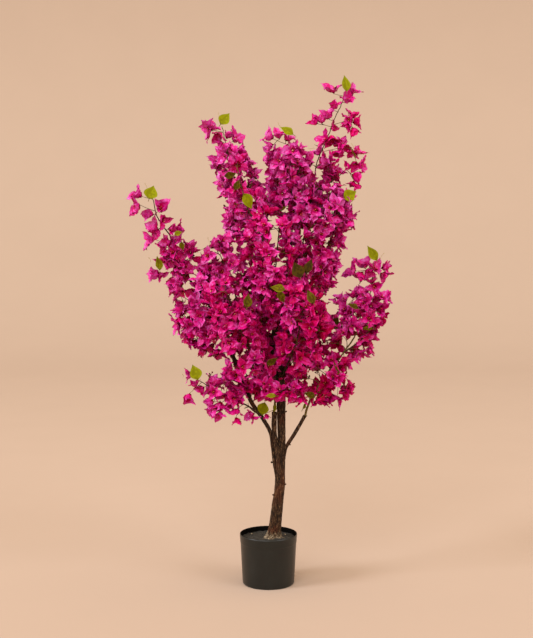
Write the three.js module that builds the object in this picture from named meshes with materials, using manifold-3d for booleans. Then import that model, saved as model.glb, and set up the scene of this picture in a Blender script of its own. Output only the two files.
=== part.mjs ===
// Artificial bougainvillea tree, about 1.5 m tall, in a plain round nursery pot.
// Millimetres, +Z up, front towards -Y. The origin is the centre of the pot's
// flat underside. The stem is a bundle of poles that leans a little to the
// right out of a hard fill and opens into four boughs; the crown is a cluster
// of uneven masses of magenta bracts with a tall thin crest on the right, a
// long spray out to the left and a drooping one low on the left.

import * as THREE from 'three';
import { mergeVertices } from 'three/addons/utils/BufferGeometryUtils.js';
import Module from 'manifold-3d';

const wasm = await Module();
wasm.setup();

// ---------------------------------------------------------------- dimensions

const POT = {
  height: 152,        // underside to the top of the rim
  rimRadius: 85.5,    // widest, just under the rim's rounded top
  lipHeight: 26,      // the thicker band round the top
  lipFootRadius: 84.0,
  neckRadius: 83.2,   // body just below the band
  footRadius: 77.2,
  underRadius: 74.6,  // flat underside inside the rounded bottom edge
  bottomRound: 5,
  wall: 2.8,
  floor: 3.2,
};
const FILL_TOP = 138;          // 14 mm below the rim
const GAP = 0.35;              // clearance between neighbouring solids

const TRUNK = {
  sides: 12,
  // height, centre x, centre y, half width x, half width y
  stations: [
    [FILL_TOP, 16, 0, 25.0, 23.0],
    [146, 17, 0, 20.5, 19.5],
    [164, 19, 0, 18.2, 17.6],
    [214, 24, 0, 16.8, 16.4],
    [302, 34.5, 0, 15.4, 15.0],
    [342, 33, 0, 17.6, 16.0],
    [396, 32.5, 0, 18.8, 16.4],
    [424, 32, 0, 18.0, 15.0],
    [436, 32, 0, 12.5, 10.0],
  ],
};

// Boughs: a tapering limb through a few stations from the fork outwards, its
// radii spread evenly along it. The stems in the two cut poles are thinner.
const BOUGHS = {
  bough_left: { radii: [6.6, 6.2, 5.8, 5.4, 4.8], sides: 8, steps: 12,
    through: [[20, -3, 404], [7, -5, 446], [-4, -8, 470], [-22, -10, 503], [-58, -8, 561],
              [-99, 0, 673], [-127, 2, 729], [-144, 2, 770]] },
  pole_mid_left: { radii: [7.8, 7.6, 7.4, 3.4, 3.0], sides: 8, steps: 8,
    through: [[22, -9, 420], [19, -11, 455], [18, -12, 490], [17, -14, 524], [18, -20, 560]] },
  bough_main: { radii: [10.4, 10.2, 9.4, 8.4, 7.0], sides: 9, steps: 9,
    through: [[38, 4, 425], [41, 5, 461], [40, 6, 551], [41, 8, 634], [32, 10, 700],
              [24, 10, 800]] },
  bough_right: { radii: [6.4, 6.0, 5.6, 3.4, 3.0], sides: 8, steps: 10,
    through: [[44, 0, 398], [55, 0, 416], [64, -2, 427], [75, -4, 449], [107, -8, 508],
              [132, -10, 573], [160, -10, 617], [221, -10, 697]] },
};

// Masses of bracts. foot and tip are the two ends of a mass along its growth,
// girth is its half width across the front, deep its half depth, belly the
// place of its widest part from foot to tip, bow how far its middle is pushed
// aside. The order is the order in which neighbours give way to each other.
const MASSES = [
  // low, round the poles
  { name: 'low_front_spray', foot: [-12, -105, 584], tip: [92, -105, 604], girth: 29, deep: 30 },
  { name: 'drooping_spray', foot: [-53, -30, 542], tip: [-243, -70, 613], girth: 55, deep: 44 },
  { name: 'drooping_leaf_spray', foot: [-154, -60, 586], tip: [-243, -80, 647], girth: 29, deep: 28 },
  { name: 'drooping_under_spray', foot: [-18, -55, 526], tip: [-105, -60, 497], girth: 20, deep: 22 },
  { name: 'low_left_mass', foot: [-12, -40, 553], tip: [-82, -50, 672], girth: 79, deep: 76 },
  { name: 'low_right_mass', foot: [76, -20, 585], tip: [219, -30, 634], girth: 76, deep: 80 },
  { name: 'low_centre_mass', foot: [66, 50, 592], tip: [42, 70, 686], girth: 60, deep: 50 },
  { name: 'low_back_mass', foot: [36, 110, 558], tip: [24, 150, 712], girth: 104, deep: 80 },
  // middle of the crown, its front and its back
  { name: 'left_mass', foot: [-118, 10, 688], tip: [-238, -22, 950], girth: 91, deep: 90 },
  { name: 'centre_mass', foot: [-18, -10, 667], tip: [-35, -20, 973], girth: 94, deep: 95 },
  { name: 'right_mass', foot: [94, 10, 664], tip: [117, 0, 972], girth: 83, deep: 95 },
  { name: 'front_left_mass', foot: [-63, -110, 675], tip: [-128, -190, 908], girth: 85, deep: 66 },
  { name: 'front_right_mass', foot: [86, -110, 663], tip: [100, -190, 908], girth: 79, deep: 66 },
  { name: 'front_upper_mass', foot: [11, -120, 859], tip: [-6, -151, 1101], girth: 82, deep: 66 },
  { name: 'back_left_mass', foot: [-67, 120, 679], tip: [-165, 190, 918], girth: 98, deep: 70 },
  { name: 'back_right_mass', foot: [97, 120, 667], tip: [135, 190, 918], girth: 95, deep: 70 },
  { name: 'back_upper_mass', foot: [12, 110, 869], tip: [36, 141, 1123], girth: 91, deep: 66 },
  // sprays and arms round the outline
  { name: 'left_spray', foot: [-260, -15, 891], tip: [-342, -110, 1181], girth: 70, deep: 52, belly: 0.42 },
  { name: 'left_outer_spray', foot: [-335, -93, 1102], tip: [-402, -107, 1142], girth: 26, deep: 26 },
  { name: 'left_mid_spray', foot: [-87, -50, 917], tip: [-183, -70, 1033], girth: 60, deep: 50 },
  { name: 'right_arm_mass', foot: [170, -10, 678], tip: [327, 24, 870], girth: 79, deep: 62 },
  { name: 'right_tip_spray', foot: [228, 1, 919], tip: [371, 34, 934], girth: 42, deep: 36 },
  // top of the crown, its sprays leaning apart in depth
  { name: 'upper_left_mass', foot: [-18, 0, 942], tip: [-82, 16, 1181], girth: 82, deep: 80 },
  { name: 'upper_right_mass', foot: [117, 0, 919], tip: [157, 6, 1187], girth: 97, deep: 84 },
  { name: 'upper_left_spray', foot: [-53, 10, 1094], tip: [-165, 75, 1386], girth: 70, deep: 48, belly: 0.42 },
  { name: 'upper_mid_spray', foot: [82, 20, 1093], tip: [40, -65, 1345], girth: 73, deep: 58 },
  { name: 'front_top_spray', foot: [-63, -90, 1102], tip: [-90, -108, 1243], girth: 48, deep: 40 },
  { name: 'back_top_spray', foot: [60, 90, 1097], tip: [54, 127, 1281], girth: 57, deep: 44 },
  { name: 'right_shoulder_spray', foot: [145, -10, 1059], tip: [272, -18, 1158], girth: 49, deep: 44 },
  { name: 'crest_foot_spray', foot: [134, 1, 1152], tip: [169, 21, 1314], girth: 38, deep: 36 },
  { name: 'crest_spray', foot: [174, 18, 1285], tip: [218, 45, 1505], girth: 44, deep: 36, belly: 0.42 },
  { name: 'crest_inner_spray', foot: [191, 21, 1395], tip: [116, 14, 1371], girth: 23, deep: 24 },
  { name: 'crest_outer_spray', foot: [249, 1, 1308], tip: [243, 19, 1452], girth: 32, deep: 30 },
  { name: 'crest_side_spray', foot: [168, -17, 1164], tip: [283, -11, 1290], girth: 43, deep: 36 },
];

const COLOUR = {
  pot: 0x26252a, fill: 0x332a22, bark: 0x4a3226,
  bract: [0xb31573, 0xc01c80, 0xa81068, 0xcb2a8a],
};

// -------------------------------------------------------------------- helpers

// Small seeded generator, so that every build gives the same shapes.
function seeded(seed) {
  let a = seed >>> 0;
  return () => {
    a = (a + 0x6d2b79f5) >>> 0;
    let t = a;
    t = Math.imul(t ^ (t >>> 15), t | 1);
    t ^= t + Math.imul(t ^ (t >>> 7), t | 61);
    return ((t ^ (t >>> 14)) >>> 0) / 4294967296;
  };
}

function bare(geometry) {
  const g = geometry.clone();
  for (const key of Object.keys(g.attributes)) if (key !== 'position') g.deleteAttribute(key);
  return mergeVertices(g, 1e-3);
}

function toManifold(geometry) {
  const g = bare(geometry);
  const positions = g.getAttribute('position').array;
  return new wasm.Manifold(new wasm.Mesh({
    numProp: 3,
    vertProperties: new Float32Array(positions),
    triVerts: new Uint32Array(g.index.array),
  }));
}

function toGeometry(manifold) {
  const mesh = manifold.getMesh();
  const g = new THREE.BufferGeometry();
  const count = mesh.vertProperties.length / mesh.numProp;
  const positions = new Float32Array(count * 3);
  for (let i = 0; i < count; i++)
    for (let k = 0; k < 3; k++) positions[3 * i + k] = mesh.vertProperties[mesh.numProp * i + k];
  g.setAttribute('position', new THREE.BufferAttribute(positions, 3));
  g.setIndex(new THREE.BufferAttribute(new Uint32Array(mesh.triVerts), 1));
  return g;
}

// The largest piece of a cut solid; crumbs cut loose are dropped.
function largest(manifold) {
  const pieces = manifold.decompose();
  pieces.sort((a, b) => b.volume() - a.volume());
  return pieces[0];
}

function surface(colour, roughness = 0.75, metalness = 0) {
  return new THREE.MeshStandardMaterial({ color: colour, roughness, metalness });
}

function named(name, geometry, material) {
  const g = geometry.clone();
  g.computeVertexNormals();
  const mesh = new THREE.Mesh(g, material);
  mesh.name = name;
  return mesh;
}

// ------------------------------------------------------------------------ pot

// A closed profile turned round the vertical axis.
function turned(points, segments) {
  const g = new THREE.LatheGeometry(points.map(([r, z]) => new THREE.Vector2(r, z)), segments);
  g.rotateX(Math.PI / 2);
  return g;
}

function potGeometry() {
  const p = POT;
  const inner = (z) => {
    const t = (z - p.floor) / (p.height - p.floor);
    return THREE.MathUtils.lerp(p.footRadius - p.wall - 0.6, p.rimRadius - p.wall - 1.2, t);
  };
  return turned([
    [0, 0],
    [p.underRadius, 0],
    [p.underRadius + 1.9, 1.4],
    [p.footRadius, p.bottomRound],
    [p.neckRadius, p.height - p.lipHeight - 1.2],
    [p.lipFootRadius, p.height - p.lipHeight],
    [p.rimRadius, p.height - 3.2],
    [p.rimRadius - 0.6, p.height - 0.8],
    [p.rimRadius - 1.6, p.height],
    [p.rimRadius - 3.2, p.height - 0.2],
    [inner(p.height - 2), p.height - 2],
    [inner(p.floor + 2), p.floor + 2],
    [inner(p.floor) - 2, p.floor],
    [0, p.floor],
  ], 32);
}

function fillGeometry() {
  const p = POT;
  const wallAt = (z) => {
    const t = (z - p.floor) / (p.height - p.floor);
    return THREE.MathUtils.lerp(p.footRadius - p.wall - 0.6, p.rimRadius - p.wall - 1.2, t);
  };
  const clear = 0.6;
  return turned([
    [0, p.floor],
    [wallAt(p.floor) - 2 - clear, p.floor],
    [wallAt(p.floor + 2.4) - clear - 0.3, p.floor + 2.4],
    [wallAt(FILL_TOP) - clear, FILL_TOP],
    [0, FILL_TOP],
  ], 32);
}

// ------------------------------------------------------------- trunk, boughs

// A capped cylinder bent along a curve, its radius read from a profile.
// The profile gives [half width, half depth] for a place from 0 to 1.
function limb(curve, sides, steps, profile, extra = 0) {
  const g = new THREE.CylinderGeometry(1, 1, 1, sides, steps);
  g.rotateX(Math.PI / 2);
  const pos = g.getAttribute('position');
  const tangent = new THREE.Vector3(), across = new THREE.Vector3(), away = new THREE.Vector3();
  const depth = new THREE.Vector3(0, 1, 0);
  const v = new THREE.Vector3();
  for (let i = 0; i < pos.count; i++) {
    v.fromBufferAttribute(pos, i);
    const t = THREE.MathUtils.clamp(v.z + 0.5, 0, 1);
    const point = curve.getPoint(t);
    tangent.copy(curve.getTangent(t));
    across.crossVectors(depth, tangent).normalize();
    away.crossVectors(tangent, across).normalize();
    const [w, d] = profile(t);
    const end = (t === 0 ? -extra : t === 1 ? extra : 0);
    point.addScaledVector(across, v.x * (w + extra))
      .addScaledVector(away, v.y * (d + extra))
      .addScaledVector(tangent, end);
    pos.setXYZ(i, point.x, point.y, point.z);
  }
  return g;
}

// The trunk: level rings stacked from the flat cut on the fill to the fork.
function trunkGeometry(extra = 0) {
  const st = TRUNK.stations;
  const g = new THREE.CylinderGeometry(1, 1, 1, TRUNK.sides, st.length - 1);
  g.rotateX(Math.PI / 2);
  const pos = g.getAttribute('position');
  for (let i = 0; i < pos.count; i++) {
    const row = Math.round((pos.getZ(i) + 0.5) * (st.length - 1));
    const [z, cx, cy, w, d] = st[row];
    // root flare: three low ridges that fade out within 40 mm of the foot
    const turn = Math.atan2(pos.getY(i), pos.getX(i));
    const fade = Math.max(0, 1 - (z - FILL_TOP) / 40);
    const ridge = 1 + 0.10 * fade * Math.cos(3 * turn + 0.6) + 0.03 * Math.cos(2 * turn + z / 60);
    const lift = extra && row === st.length - 1 ? extra : 0;
    pos.setXYZ(i, cx + pos.getX(i) * (w * ridge + extra), cy + pos.getY(i) * (d * ridge + extra), z + lift);
  }
  return g;
}

function boughGeometry(b, extra = 0) {
  const curve = new THREE.CatmullRomCurve3(b.through.map((p) => new THREE.Vector3(...p)), false, 'centripetal');
  const last = b.radii.length - 1;
  return limb(curve, b.sides, b.steps, (t) => {
    const k = Math.min(last - 1, Math.floor(t * last));
    const r = THREE.MathUtils.lerp(b.radii[k], b.radii[k + 1], t * last - k);
    return [r, r * 0.96];
  }, extra);
}

// ------------------------------------------------------------- bract masses

const FINE = { across: 11, along: 8 };    // corners round a mass, rings along it
const COARSE = { across: 9, along: 6 };   // the same for a small spray
const SMALL = 50;                         // girth below which a mass is small
const BLUNT = 0.72;     // 1 is an egg, less is fuller towards its ends

function massGeometry(m, index, extra = 0) {
  const random = seeded(4100 + 77 * index);
  const foot = new THREE.Vector3(...m.foot), tip = new THREE.Vector3(...m.tip);
  const mid = foot.clone().lerp(tip, 0.5).add(new THREE.Vector3(...(m.bow ?? [0, 0, 0])).multiplyScalar(2));
  const spine = new THREE.QuadraticBezierCurve3(foot, mid, tip);
  const axis = tip.clone().sub(foot).normalize();
  const depth = new THREE.Vector3(0, 1, 0);
  const across = new THREE.Vector3().crossVectors(depth, axis).normalize();
  const away = new THREE.Vector3().crossVectors(across, axis).normalize();
  const power = Math.log(m.belly ?? 0.5) / Math.log(0.5);

  // lumps: a few waves round and along the mass with seeded places
  const waves = Array.from({ length: 5 }, () => ({
    round: 1 + Math.floor(random() * 4), along: 1 + random() * 3,
    shift: random() * Math.PI * 2, shift2: random() * Math.PI * 2,
  }));

  const size = m.girth < SMALL ? COARSE : FINE;
  const g = bare(new THREE.SphereGeometry(1, size.across, size.along));
  const pos = g.getAttribute('position');
  const v = new THREE.Vector3();
  const jolts = Array.from({ length: pos.count }, () => random() - 0.5);
  for (let i = 0; i < pos.count; i++) {
    v.fromBufferAttribute(pos, i);
    const t = Math.pow(THREE.MathUtils.clamp((1 + v.y) / 2, 0, 1), power);
    const turn = Math.atan2(v.z, v.x);
    let lump = 0;
    for (const w of waves)
      lump += Math.cos(w.round * turn + w.shift) * Math.cos(w.along * Math.PI * t + w.shift2);
    const ring = Math.hypot(v.x, v.z);
    const full = ring > 1e-6 ? Math.pow(ring, BLUNT) / ring : 1;
    const swell = full * (1 + 0.06 * lump + 0.26 * jolts[i]);
    const point = spine.getPoint(t)
      .addScaledVector(across, v.x * (m.girth * swell))
      .addScaledVector(away, v.z * (m.deep * swell));
    // the ends are blunt and uneven too
    point.addScaledVector(axis, 0.22 * m.girth * jolts[i] * v.y * v.y);
    pos.setXYZ(i, point.x, point.y, point.z);
  }
  if (extra) {
    g.computeVertexNormals();
    const n = g.getAttribute('normal');
    for (let i = 0; i < pos.count; i++)
      pos.setXYZ(i, pos.getX(i) + extra * n.getX(i), pos.getY(i) + extra * n.getY(i), pos.getZ(i) + extra * n.getZ(i));
    g.deleteAttribute('normal');
  }
  return g;
}

// ------------------------------------------------------------------ assembly

const tree = new THREE.Group();

tree.add(named('pot', potGeometry(), surface(COLOUR.pot, 0.55)));
tree.add(named('pot_fill', fillGeometry(), surface(COLOUR.fill, 0.95)));
tree.add(named('trunk', trunkGeometry(), surface(COLOUR.bark, 0.85)));

// what is already in place, each grown by the clearance, for the next to clear
const placed = [toManifold(trunkGeometry(GAP))];

for (const [name, b] of Object.entries(BOUGHS)) {
  let solid = toManifold(boughGeometry(b));
  for (const other of placed) solid = solid.subtract(other);
  tree.add(named(name, toGeometry(largest(solid)), surface(COLOUR.bark, 0.85)));
  placed.push(toManifold(boughGeometry(b, GAP)));
}

MASSES.forEach((m, index) => {
  let solid = toManifold(massGeometry(m, index));
  for (const other of placed) solid = solid.subtract(other);
  const colour = COLOUR.bract[index % COLOUR.bract.length];
  tree.add(named(m.name, toGeometry(largest(solid)), surface(colour, 0.7)));
  placed.push(toManifold(massGeometry(m, index, GAP * 1.6)));
});

export default tree;
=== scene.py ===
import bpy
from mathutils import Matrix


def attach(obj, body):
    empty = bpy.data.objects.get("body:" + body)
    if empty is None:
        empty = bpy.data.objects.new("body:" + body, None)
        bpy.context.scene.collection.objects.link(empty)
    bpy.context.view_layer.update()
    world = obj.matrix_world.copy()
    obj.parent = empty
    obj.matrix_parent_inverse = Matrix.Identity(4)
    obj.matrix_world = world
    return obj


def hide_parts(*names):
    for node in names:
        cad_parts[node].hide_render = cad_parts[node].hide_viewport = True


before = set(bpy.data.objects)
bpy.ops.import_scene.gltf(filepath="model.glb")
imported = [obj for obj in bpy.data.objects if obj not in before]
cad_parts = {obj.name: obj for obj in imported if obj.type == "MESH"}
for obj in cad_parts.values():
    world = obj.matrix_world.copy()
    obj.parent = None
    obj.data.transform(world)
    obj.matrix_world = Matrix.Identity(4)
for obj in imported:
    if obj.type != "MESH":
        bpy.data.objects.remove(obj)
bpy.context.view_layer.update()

# An artificial bougainvillea tree in a nursery pot, about 1.5 m tall.
# Metres in the scene; the tables below are in millimetres.

import math

import bpy
import numpy as np

MM = 0.001
rng = np.random.default_rng(2718)

# ------------------------------------------------------------------ the camera
CAM_H, CAM_D, CAM_X = 1200.0, 3890.0, -4.5      # mm
PITCH = math.radians(5.98)
FOCAL = 1333.0                                  # pixels, in a 533 x 638 picture
PIC_W, PIC_H = 533, 638


def lean_back(u, v):
    """How far back (forward below 0) the sprays lean towards their tips, in mm."""
    if v < 216 and 200 < u < 262:
        return 85.0 * min(1.15, (216 - v) / 100)
    if v < 216 and 200 < u < (290 if v < 126 else 312):
        return -75.0 * min(1.1, (216 - v) / 88)
    if v < 200 and u > 280:
        return 45.0 * min(1.0, (200 - v) / 126)
    if v < 286 and u < 200:
        return -60.0 * min(1.1, (286 - v) / 100)
    if 246 < v < 362 and u > 335:
        return 45.0 * min(1.2, (u - 335) / 45)
    if v < 246 and u > 325:
        return -45.0 * min(1.0, (u - 325) / 35)
    return 0.0


def seen(u, v, y=0.0):
    """The point at depth y (mm) that the camera sees at picture place u, v."""
    y = y + lean_back(u, v)
    d = np.array([(u - PIC_W / 2) / FOCAL,
                  math.cos(PITCH) - (v - PIC_H / 2) / FOCAL * math.sin(PITCH),
                  -math.sin(PITCH) - (v - PIC_H / 2) / FOCAL * math.cos(PITCH)])
    t = (y + CAM_D) / d[1]
    return np.array([CAM_X, -CAM_D, CAM_H]) + t * d


def path(*rows):
    return np.array([seen(*r) for r in rows])


# ------------------------------------------------------------- vector helpers
def unit(a):
    a = np.asarray(a, float)
    return a / (np.linalg.norm(a, axis=-1, keepdims=True) + 1e-12)


def smooth_path(points, step):
    """Catmull-Rom through the points, resampled at about every `step` mm."""
    p = np.asarray(points, float)
    if len(p) == 2:
        n = max(2, int(np.linalg.norm(p[1] - p[0]) / step) + 1)
        return p[0] + (p[1] - p[0]) * np.linspace(0, 1, n)[:, None]
    e = np.vstack([2 * p[0] - p[1], p, 2 * p[-1] - p[-2]])
    out = []
    t = np.linspace(0, 1, 24, endpoint=False)[:, None]
    for i in range(len(p) - 1):
        a, b, c, d = e[i:i + 4]
        out.append(0.5 * (2 * b + (c - a) * t + (2 * a - 5 * b + 4 * c - d) * t ** 2
                          + (3 * b - a - 3 * c + d) * t ** 3))
    q = np.vstack(out + [p[-1:]])
    s = np.r_[0, np.cumsum(np.linalg.norm(np.diff(q, axis=0), axis=1))]
    n = max(3, int(s[-1] / step) + 1)
    w = np.linspace(0, s[-1], n)
    return np.stack([np.interp(w, s, q[:, k]) for k in range(3)], 1)


def frames(p):
    """Tangent and two sideways directions that don't spin along a path."""
    t = unit(np.gradient(p, axis=0))
    ref = np.array([0.0, 1.0, 0.0]) if abs(t[0, 1]) < 0.85 else np.array([1.0, 0, 0])
    a = np.zeros_like(t)
    a[0] = unit(np.cross(ref, t[0]))
    for i in range(1, len(t)):
        v = a[i - 1] - t[i] * np.dot(a[i - 1], t[i])
        a[i] = unit(v)
    return t, a, np.cross(t, a)


class Pile:
    """Quads of one kind of piece, gathered and then made into one mesh."""

    def __init__(self):
        self.v, self.f, self.m, self.n = [], [], [], 0

    def add(self, verts, quads, mats):
        self.v.append(np.asarray(verts, np.float64).reshape(-1, 3))
        self.f.append(np.asarray(quads, np.int64).reshape(-1, 4) + self.n)
        self.m.append(np.broadcast_to(np.asarray(mats, np.int64), (len(self.f[-1]),)).copy())
        self.n += len(self.v[-1])

    def triangles(self):
        return 2 * sum(len(f) for f in self.f)

    def make(self, name, materials, smooth=True):
        v = np.vstack(self.v) * MM
        f = np.vstack(self.f)
        m = np.concatenate(self.m)
        return mesh_piece(name, v, f, m, materials, smooth)


def mesh_piece(name, v, quads, mats, materials, smooth=True):
    me = bpy.data.meshes.new(name)
    me.vertices.add(len(v))
    me.vertices.foreach_set("co", np.ascontiguousarray(v, np.float32).ravel())
    me.loops.add(4 * len(quads))
    me.loops.foreach_set("vertex_index", np.ascontiguousarray(quads, np.int32).ravel())
    me.polygons.add(len(quads))
    me.polygons.foreach_set("loop_start", np.arange(0, 4 * len(quads), 4, dtype=np.int32))
    for mat in materials:
        me.materials.append(mat)
    me.polygons.foreach_set("material_index", np.ascontiguousarray(mats, np.int32))
    me.polygons.foreach_set("use_smooth", np.full(len(quads), smooth))
    me.update(calc_edges=True)
    me.validate()
    ob = bpy.data.objects.new(name, me)
    bpy.context.scene.collection.objects.link(ob)
    return ob


def tube(pile, p, r, sides, mat, flat_end=False):
    """A round stem along p with radii r; its ends close to a point or a disc."""
    p = np.asarray(p, float)
    r = np.broadcast_to(np.asarray(r, float), (len(p),)).copy()
    t, a, b = frames(p)
    if flat_end:
        p = np.vstack([p, p[-1], p[-1] + t[-1] * 0.3])
        r = np.r_[r, r[-1] * 0.86, 0.02]
    else:
        p = np.vstack([p, p[-1] + t[-1] * r[-1] * 0.5])
        r = np.r_[r, 0.02]
    t = np.vstack([t] + [t[-1:]] * (len(p) - len(t)))
    a = np.vstack([a] + [a[-1:]] * (len(p) - len(a)))
    b = np.vstack([b] + [b[-1:]] * (len(p) - len(b)))
    ang = np.arange(sides) * 2 * math.pi / sides
    ring = (np.cos(ang)[None, :, None] * a[:, None] + np.sin(ang)[None, :, None] * b[:, None])
    v = p[:, None] + ring * r[:, None, None]
    i = np.arange(len(p) - 1)[:, None] * sides
    j = np.arange(sides)[None, :]
    k = (j + 1) % sides
    q = np.stack([i + j, i + k, i + sides + k, i + sides + j], -1).reshape(-1, 4)
    pile.add(v.reshape(-1, 3), q, mat)


def grid_quads(n, m):
    i = np.arange(n - 1)[:, None] * m
    j = np.arange(m - 1)[None, :]
    return np.stack([i + j, i + j + 1, i + m + j + 1, i + m + j], -1).reshape(-1, 4)


# ----------------------------------------------------------------- materials
def srgb(r, g, b):
    c = np.array([r, g, b], float) / 255
    c = np.where(c <= 0.04045, c / 12.92, ((c + 0.055) / 1.055) ** 2.4)
    return (float(c[0]), float(c[1]), float(c[2]), 1.0)


def plain(name, colour, rough=0.6, sheen=0.0, specular=0.3, gloss=None):
    m = bpy.data.materials.new(name)
    m.use_nodes = True
    b = m.node_tree.nodes["Principled BSDF"]
    b.inputs["Base Color"].default_value = colour
    b.inputs["Roughness"].default_value = rough
    b.inputs["Specular IOR Level"].default_value = specular
    if gloss:
        b.inputs["Specular Tint"].default_value = gloss
    if sheen:
        b.inputs["Sheen Weight"].default_value = sheen
        b.inputs["Sheen Roughness"].default_value = 0.5
        b.inputs["Sheen Tint"].default_value = (1.0, 0.75, 0.9, 1.0)
    return m


def nodes_of(name):
    m = bpy.data.materials.new(name)
    m.use_nodes = True
    nt = m.node_tree
    return m, nt, nt.nodes["Principled BSDF"]


def ramp(nt, fac, stops, interpolation="LINEAR"):
    r = nt.nodes.new("ShaderNodeValToRGB")
    r.color_ramp.interpolation = interpolation
    el = r.color_ramp.elements
    while len(el) < len(stops):
        el.new(0.5)
    for e, (pos, col) in zip(el, stops):
        e.position, e.color = pos, col
    nt.links.new(fac, r.inputs[0])
    return r.outputs[0]


def noise(nt, vec, scale, detail=4.0, rough=0.55, distortion=0.0):
    n = nt.nodes.new("ShaderNodeTexNoise")
    n.inputs["Scale"].default_value = scale
    n.inputs["Detail"].default_value = detail
    n.inputs["Roughness"].default_value = rough
    n.inputs["Distortion"].default_value = distortion
    if vec is not None:
        nt.links.new(vec, n.inputs["Vector"])
    return n.outputs["Fac"]


def mapped(nt, scale):
    tc = nt.nodes.new("ShaderNodeTexCoord")
    mp = nt.nodes.new("ShaderNodeMapping")
    mp.inputs["Scale"].default_value = scale
    nt.links.new(tc.outputs["Object"], mp.inputs["Vector"])
    return mp.outputs["Vector"]


def mix(nt, fac, a, b, blend="MIX"):
    m = nt.nodes.new("ShaderNodeMix")
    m.data_type = "RGBA"
    m.blend_type = blend
    if hasattr(fac, "is_output"):
        nt.links.new(fac, m.inputs[0])
    else:
        m.inputs[0].default_value = fac
    for sock, val in ((m.inputs[6], a), (m.inputs[7], b)):
        if hasattr(val, "is_output"):
            nt.links.new(val, sock)
        else:
            sock.default_value = val
    return m.outputs[2]


def bump(nt, height, strength, distance, bsdf):
    b = nt.nodes.new("ShaderNodeBump")
    b.inputs["Strength"].default_value = strength
    b.inputs["Distance"].default_value = distance
    nt.links.new(height, b.inputs["Height"])
    nt.links.new(b.outputs[0], bsdf.inputs["Normal"])


# dyed cloth bracts: plain shades, dealt out by spray. The shades are partly the cloth's own tone
# and partly painted light: the pale ones, with more specular, stand for lit faces, the deep ones for shaded faces.
BRACT_SHADES = [
    ("bract_deep", srgb(160, 0, 51), 0.04),
    ("bract_dark", srgb(176, 0, 70), 0.08),
    ("bract_mid", srgb(189, 1, 94), 0.18),
    ("bract_bright", srgb(196, 8, 115), 0.36),
    ("bract_light", srgb(201, 31, 134), 0.60),
    ("bract_pale", srgb(203, 65, 154), 0.92),
    ("bract_throat", srgb(122, 0, 24), 0.0),
]
MAT_BRACT = [plain(n, c, 0.42, 0.0, sp, (0.56, 0.62, 1.0, 1.0)) for n, c, sp in BRACT_SHADES]
THROAT = 6
MAT_CENTRE = [plain("floret_red", srgb(150, 24, 40), 0.6, 0, 0.1),
              plain("floret_orange", srgb(206, 96, 66), 0.6, 0, 0.15),
              plain("floret_cream", srgb(236, 206, 160), 0.6, 0, 0.15)]
MAT_STEM = [plain("stem_olive", srgb(96, 78, 30), 0.6, 0, 0.2),
            plain("stem_brown", srgb(62, 40, 22), 0.7, 0, 0.2),
            plain("stem_dark", srgb(42, 26, 17), 0.75, 0, 0.2),
            plain("calyx_dark", srgb(88, 14, 34), 0.65, 0, 0.1),
            plain("tendril_pale", srgb(160, 146, 84), 0.6)]
OLIVE, BROWN, DARK, CALYX, PALE = range(5)
MAT_LEAF = [plain("leaf_%d" % k, srgb(*c), 0.6, 0, 0.05) for k, c in enumerate(
    [(124, 126, 2), (112, 112, 2), (98, 92, 2), (82, 70, 2), (64, 48, 2), (48, 34, 2)])]


def bark_material():
    m, nt, b = nodes_of("bark")
    long_grain = mapped(nt, (1.0, 1.0, 0.30))
    blotch = mapped(nt, (1.0, 1.0, 0.45))
    grain = noise(nt, long_grain, 300.0, 7.0, 0.72, 0.7)
    patches = noise(nt, blotch, 46.0, 4.0, 0.6, 0.6)
    base = ramp(nt, grain, [(0.38, srgb(3, 1, 0)), (0.47, srgb(26, 14, 6)),
                            (0.55, srgb(74, 48, 28)), (0.65, srgb(156, 122, 86))])
    red = ramp(nt, patches, [(0.34, srgb(16, 9, 3)), (0.50, srgb(48, 29, 14)),
                             (0.62, srgb(94, 44, 22)), (0.74, srgb(116, 82, 50))])
    # cement rubbed up the foot of the stem, thinning out above the fill
    tc = nt.nodes.new("ShaderNodeTexCoord")
    place = nt.nodes.new("ShaderNodeSeparateXYZ")
    nt.links.new(tc.outputs["Object"], place.inputs[0])
    low = nt.nodes.new("ShaderNodeMapRange")
    low.inputs["From Min"].default_value, low.inputs["From Max"].default_value = 0.174, 0.140
    nt.links.new(place.outputs["Z"], low.inputs["Value"])
    lumps = noise(nt, mapped(nt, (1.0, 1.0, 0.7)), 190.0, 5.0, 0.65, 0.4)
    cover = ramp(nt, mix(nt, 1.0, low.outputs[0], lumps, "MULTIPLY"), [(0.30, (0, 0, 0, 1)), (0.46, (0.85, 0.85, 0.85, 1))])
    cement = ramp(nt, lumps, [(0.40, srgb(58, 46, 32)), (0.52, srgb(112, 94, 70)), (0.64, srgb(168, 150, 122))])
    nt.links.new(mix(nt, cover, mix(nt, 0.40, base, red), cement), b.inputs["Base Color"])
    rr = ramp(nt, grain, [(0.3, (0.95, 0.95, 0.95, 1)), (0.8, (0.62, 0.62, 0.62, 1))])
    nt.links.new(rr, b.inputs["Roughness"])
    b.inputs["Specular IOR Level"].default_value = 0.18
    bump(nt, grain, 1.0, 0.0052, b)
    return m


def pot_material():
    m, nt, b = nodes_of("pot_plastic")
    scuff = noise(nt, mapped(nt, (1.0, 1.0, 0.6)), 24.0, 5.0, 0.6)
    fine = noise(nt, mapped(nt, (1.0, 1.0, 1.0)), 900.0, 2.0, 0.5)
    col = ramp(nt, scuff, [(0.30, srgb(2, 6, 4)), (0.60, srgb(5, 10, 7)), (0.78, srgb(16, 19, 16))])
    nt.links.new(col, b.inputs["Base Color"])
    rr = ramp(nt, scuff, [(0.3, (0.33, 0.33, 0.33, 1)), (0.75, (0.41, 0.41, 0.41, 1))])
    nt.links.new(rr, b.inputs["Roughness"])
    b.inputs["Specular IOR Level"].default_value = 0.48
    bump(nt, fine, 0.10, 0.0003, b)
    return m


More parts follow.
